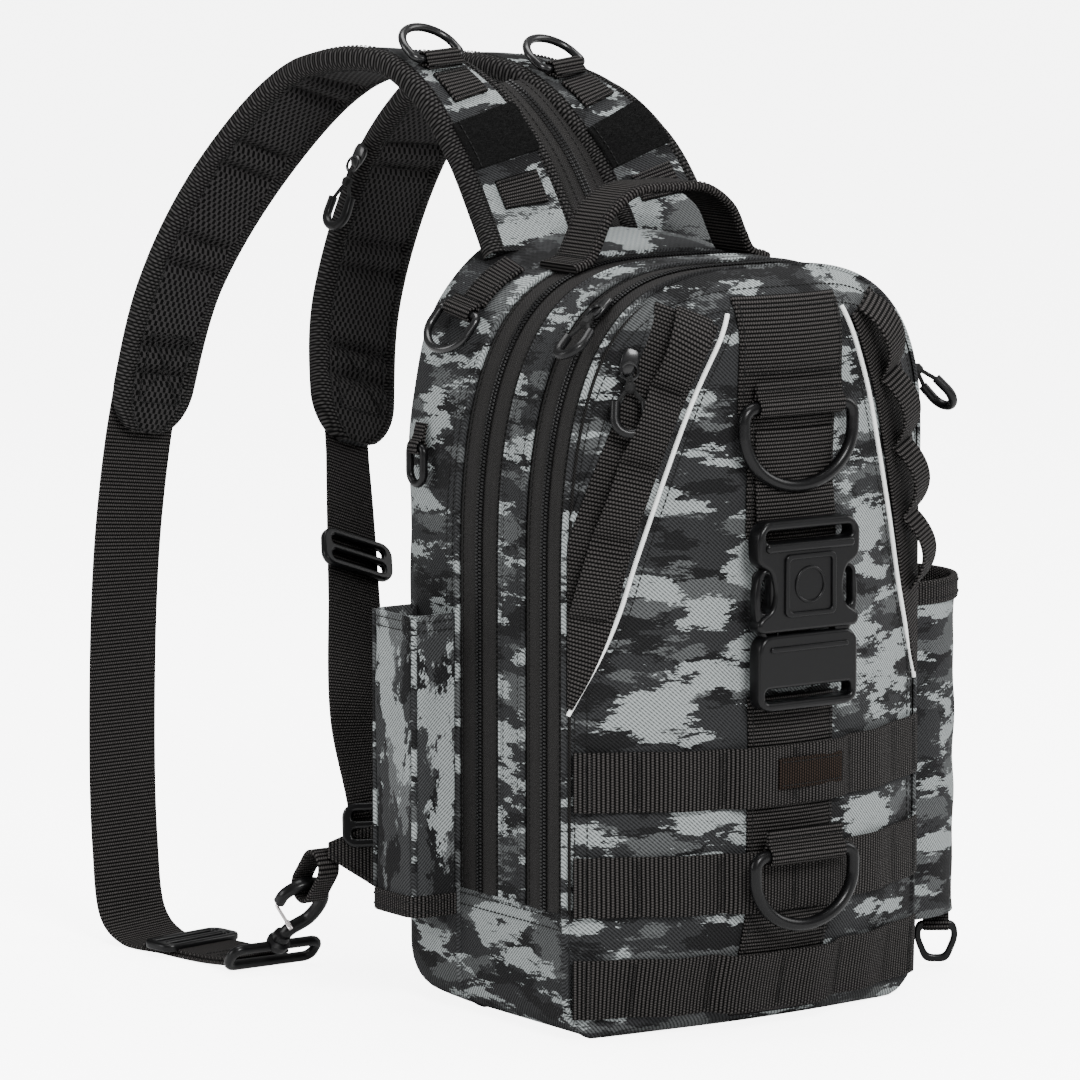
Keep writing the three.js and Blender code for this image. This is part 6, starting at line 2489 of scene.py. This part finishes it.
    def anchor(self) -> None:
        """Makes the web loop that the hook holds and the wing that it is sewn to."""
        u, v, radius, straight = self.anchor_loop
        turn = np.linspace(0, math.pi, 17)
        ends = ((v + straight, radius), (v, -radius))
        ring = np.vstack([
            self.hook_points(np.array([[u, at + r * math.sin(a)]]), r * math.cos(a))
            for at, r in ends for a in turn])
        line = spaced(np.vstack([ring, ring[:1]]), 1.2)[:-1]
        along = tangents(line, loop=True)
        side = np.tile([1.0, 0, 0], (len(line), 1))
        web = Bin()
        frames = Frames(line, along, side, np.cross(along, side))
        web.sweep(frames, strip_section(12, -0.1, 2.3, 7), loop=True)
        self.looks.fit(web, "anchor_loop_web", "webbing", "anchor_loop", Look.WEBBING)
        x, y, low, high = self.wing
        foot = np.array([x, y, (low + high) / 2])
        tip = self.hook_points(np.array([[u, v + straight + radius + 5.6]]))[0]
        share = np.linspace(0.16, 1, 30)
        p = foot + (tip - foot) * share[:, None]
        along = np.tile(unit((tip - foot) * [1, 1, 0]), (30, 1))
        up = np.cross(np.tile([0, 0, 1.0], (30, 1)), along)
        frames = Frames(p, along, np.tile([0, 0, 1.0], (30, 1)), up)
        half = (high - low) / 2 + (4 - (high - low) / 2) * share
        section = strip_section(2, -1.5, 1.5, 11, 0.1)[None] * np.stack([half, np.ones(30)], 1)[:, None]
        wing = Bin()
        wing.sweep(frames, section)
        for way in (-1, 1):
            for face in (-1, 1):
                line = p + frames.side * (way * (half - 3))[:, None] + up * face * 1.5
                wing.stitches(Frames(line, along, frames.side, up * face), 2.6, mark=1)
        self.looks.web(wing, "corner_wing_cloth", "corner_wing")


@dataclass
class Studio:
    """A pale floor, soft light and the photograph's camera."""

    aim: tuple[float, float, float] = (-0.0474, 0.0174, 0.2255)
    view: tuple[float, float, float] = (0.566, 0.812, -0.139)
    distance: float = 3.4
    across: float = 0.527
    ambient: float = 0.4
    paper: float = 6.0
    lamps: tuple[tuple[str, tuple[float, float, float], float, float], ...] = (
        ("key", (-0.6, -2.2, 1.7), 0.9, 125.0),
        ("fill", (2.1, -0.8, 1.3), 1.2, 40.0),
        ("top", (0.1, 0.3, 2.3), 1.4, 72.0),
        ("side", (-2.1, 0.9, 0.9), 1.0, 36.0),
    )

    def build(self) -> None:
        """Sets the stage."""
        self.floor()
        for lamp in self.lamps:
            self.light(*lamp)
        world = bpy.data.worlds.new("studio")
        world.use_nodes = True
        back = world.node_tree.nodes["Background"]
        back.inputs["Color"].default_value = (1, 1, 1, 1)
        self.glow(Tree(world.node_tree), back.inputs["Strength"], self.ambient)
        bpy.context.scene.world = world
        self.camera()

    def glow(self, t: Tree, strength: Out, least: float) -> None:
        """Keeps the paper white where it is seen, without lighting the bag from below."""
        seen = t.node("ShaderNodeLightPath").outputs["Is Camera Ray"]
        t.feed(t.math("MULTIPLY_ADD", seen, self.paper, least), strength)

    def floor(self) -> None:
        """Makes the floor."""
        mesh = bpy.data.meshes.new("floor")
        mesh.from_pydata([(-20, -20, 0), (20, -20, 0), (20, 20, 0), (-20, 20, 0)], [], [(0, 1, 2, 3)])
        floor = bpy.data.objects.new("floor", mesh)
        bpy.context.scene.collection.objects.link(floor)
        material = bpy.data.materials.new("pale_floor")
        material.use_nodes = True
        shader = material.node_tree.nodes["Principled BSDF"]
        shader.inputs["Base Color"].default_value = (0.95, 0.95, 0.95, 1)
        shader.inputs["Roughness"].default_value = 0.75
        shader.inputs["Emission Color"].default_value = (1, 1, 1, 1)
        self.glow(Tree(material.node_tree), shader.inputs["Emission Strength"], 0.0)
        mesh.materials.append(material)

    def light(self, name: str, at: Sequence[float], size: float, power: float) -> None:
        """Makes a soft light that faces the bag.

        Args:
            name: Its name.
            at: Its place in metres.
            size: Its width.
            power: Its strength.
        """
        lamp = bpy.data.lights.new(name, "AREA")
        lamp.size = size
        lamp.energy = power
        held = bpy.data.objects.new(name, lamp)
        held.location = at
        held.rotation_euler = (Vector(self.aim) - Vector(at)).to_track_quat("-Z", "Y").to_euler()
        bpy.context.scene.collection.objects.link(held)

    def camera(self) -> None:
        """Makes the camera at the photograph's angle."""
        lens = bpy.data.cameras.new("camera")
        lens.sensor_width = 36
        lens.lens = 36 * self.distance / self.across
        eye = bpy.data.objects.new("camera", lens)
        way = Vector(self.view).normalized()
        eye.location = Vector(self.aim) - way * self.distance
        eye.rotation_euler = way.to_track_quat("-Z", "Y").to_euler()
        bpy.context.scene.collection.objects.link(eye)
        bpy.context.scene.camera = eye


def main() -> None:
    """Builds every sub-assembly in order."""
    logging.basicConfig(level=logging.INFO, format="%(message)s")
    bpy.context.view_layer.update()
    form, looks = BodyForm(), Wardrobe()
    for group in (
        BodyShell(form, looks),
        Zips(form, looks),
        SidePockets(form, looks),
        FrontWebbing(form, looks),
        Buckle(form, looks),
        Hardware(form, looks),
        Straps(looks),
        StrapTails(looks),
        Studio(),
    ):
        LOG.info("building %s", type(group).__name__)
        group.build()


if __name__ == "__main__":
    main()
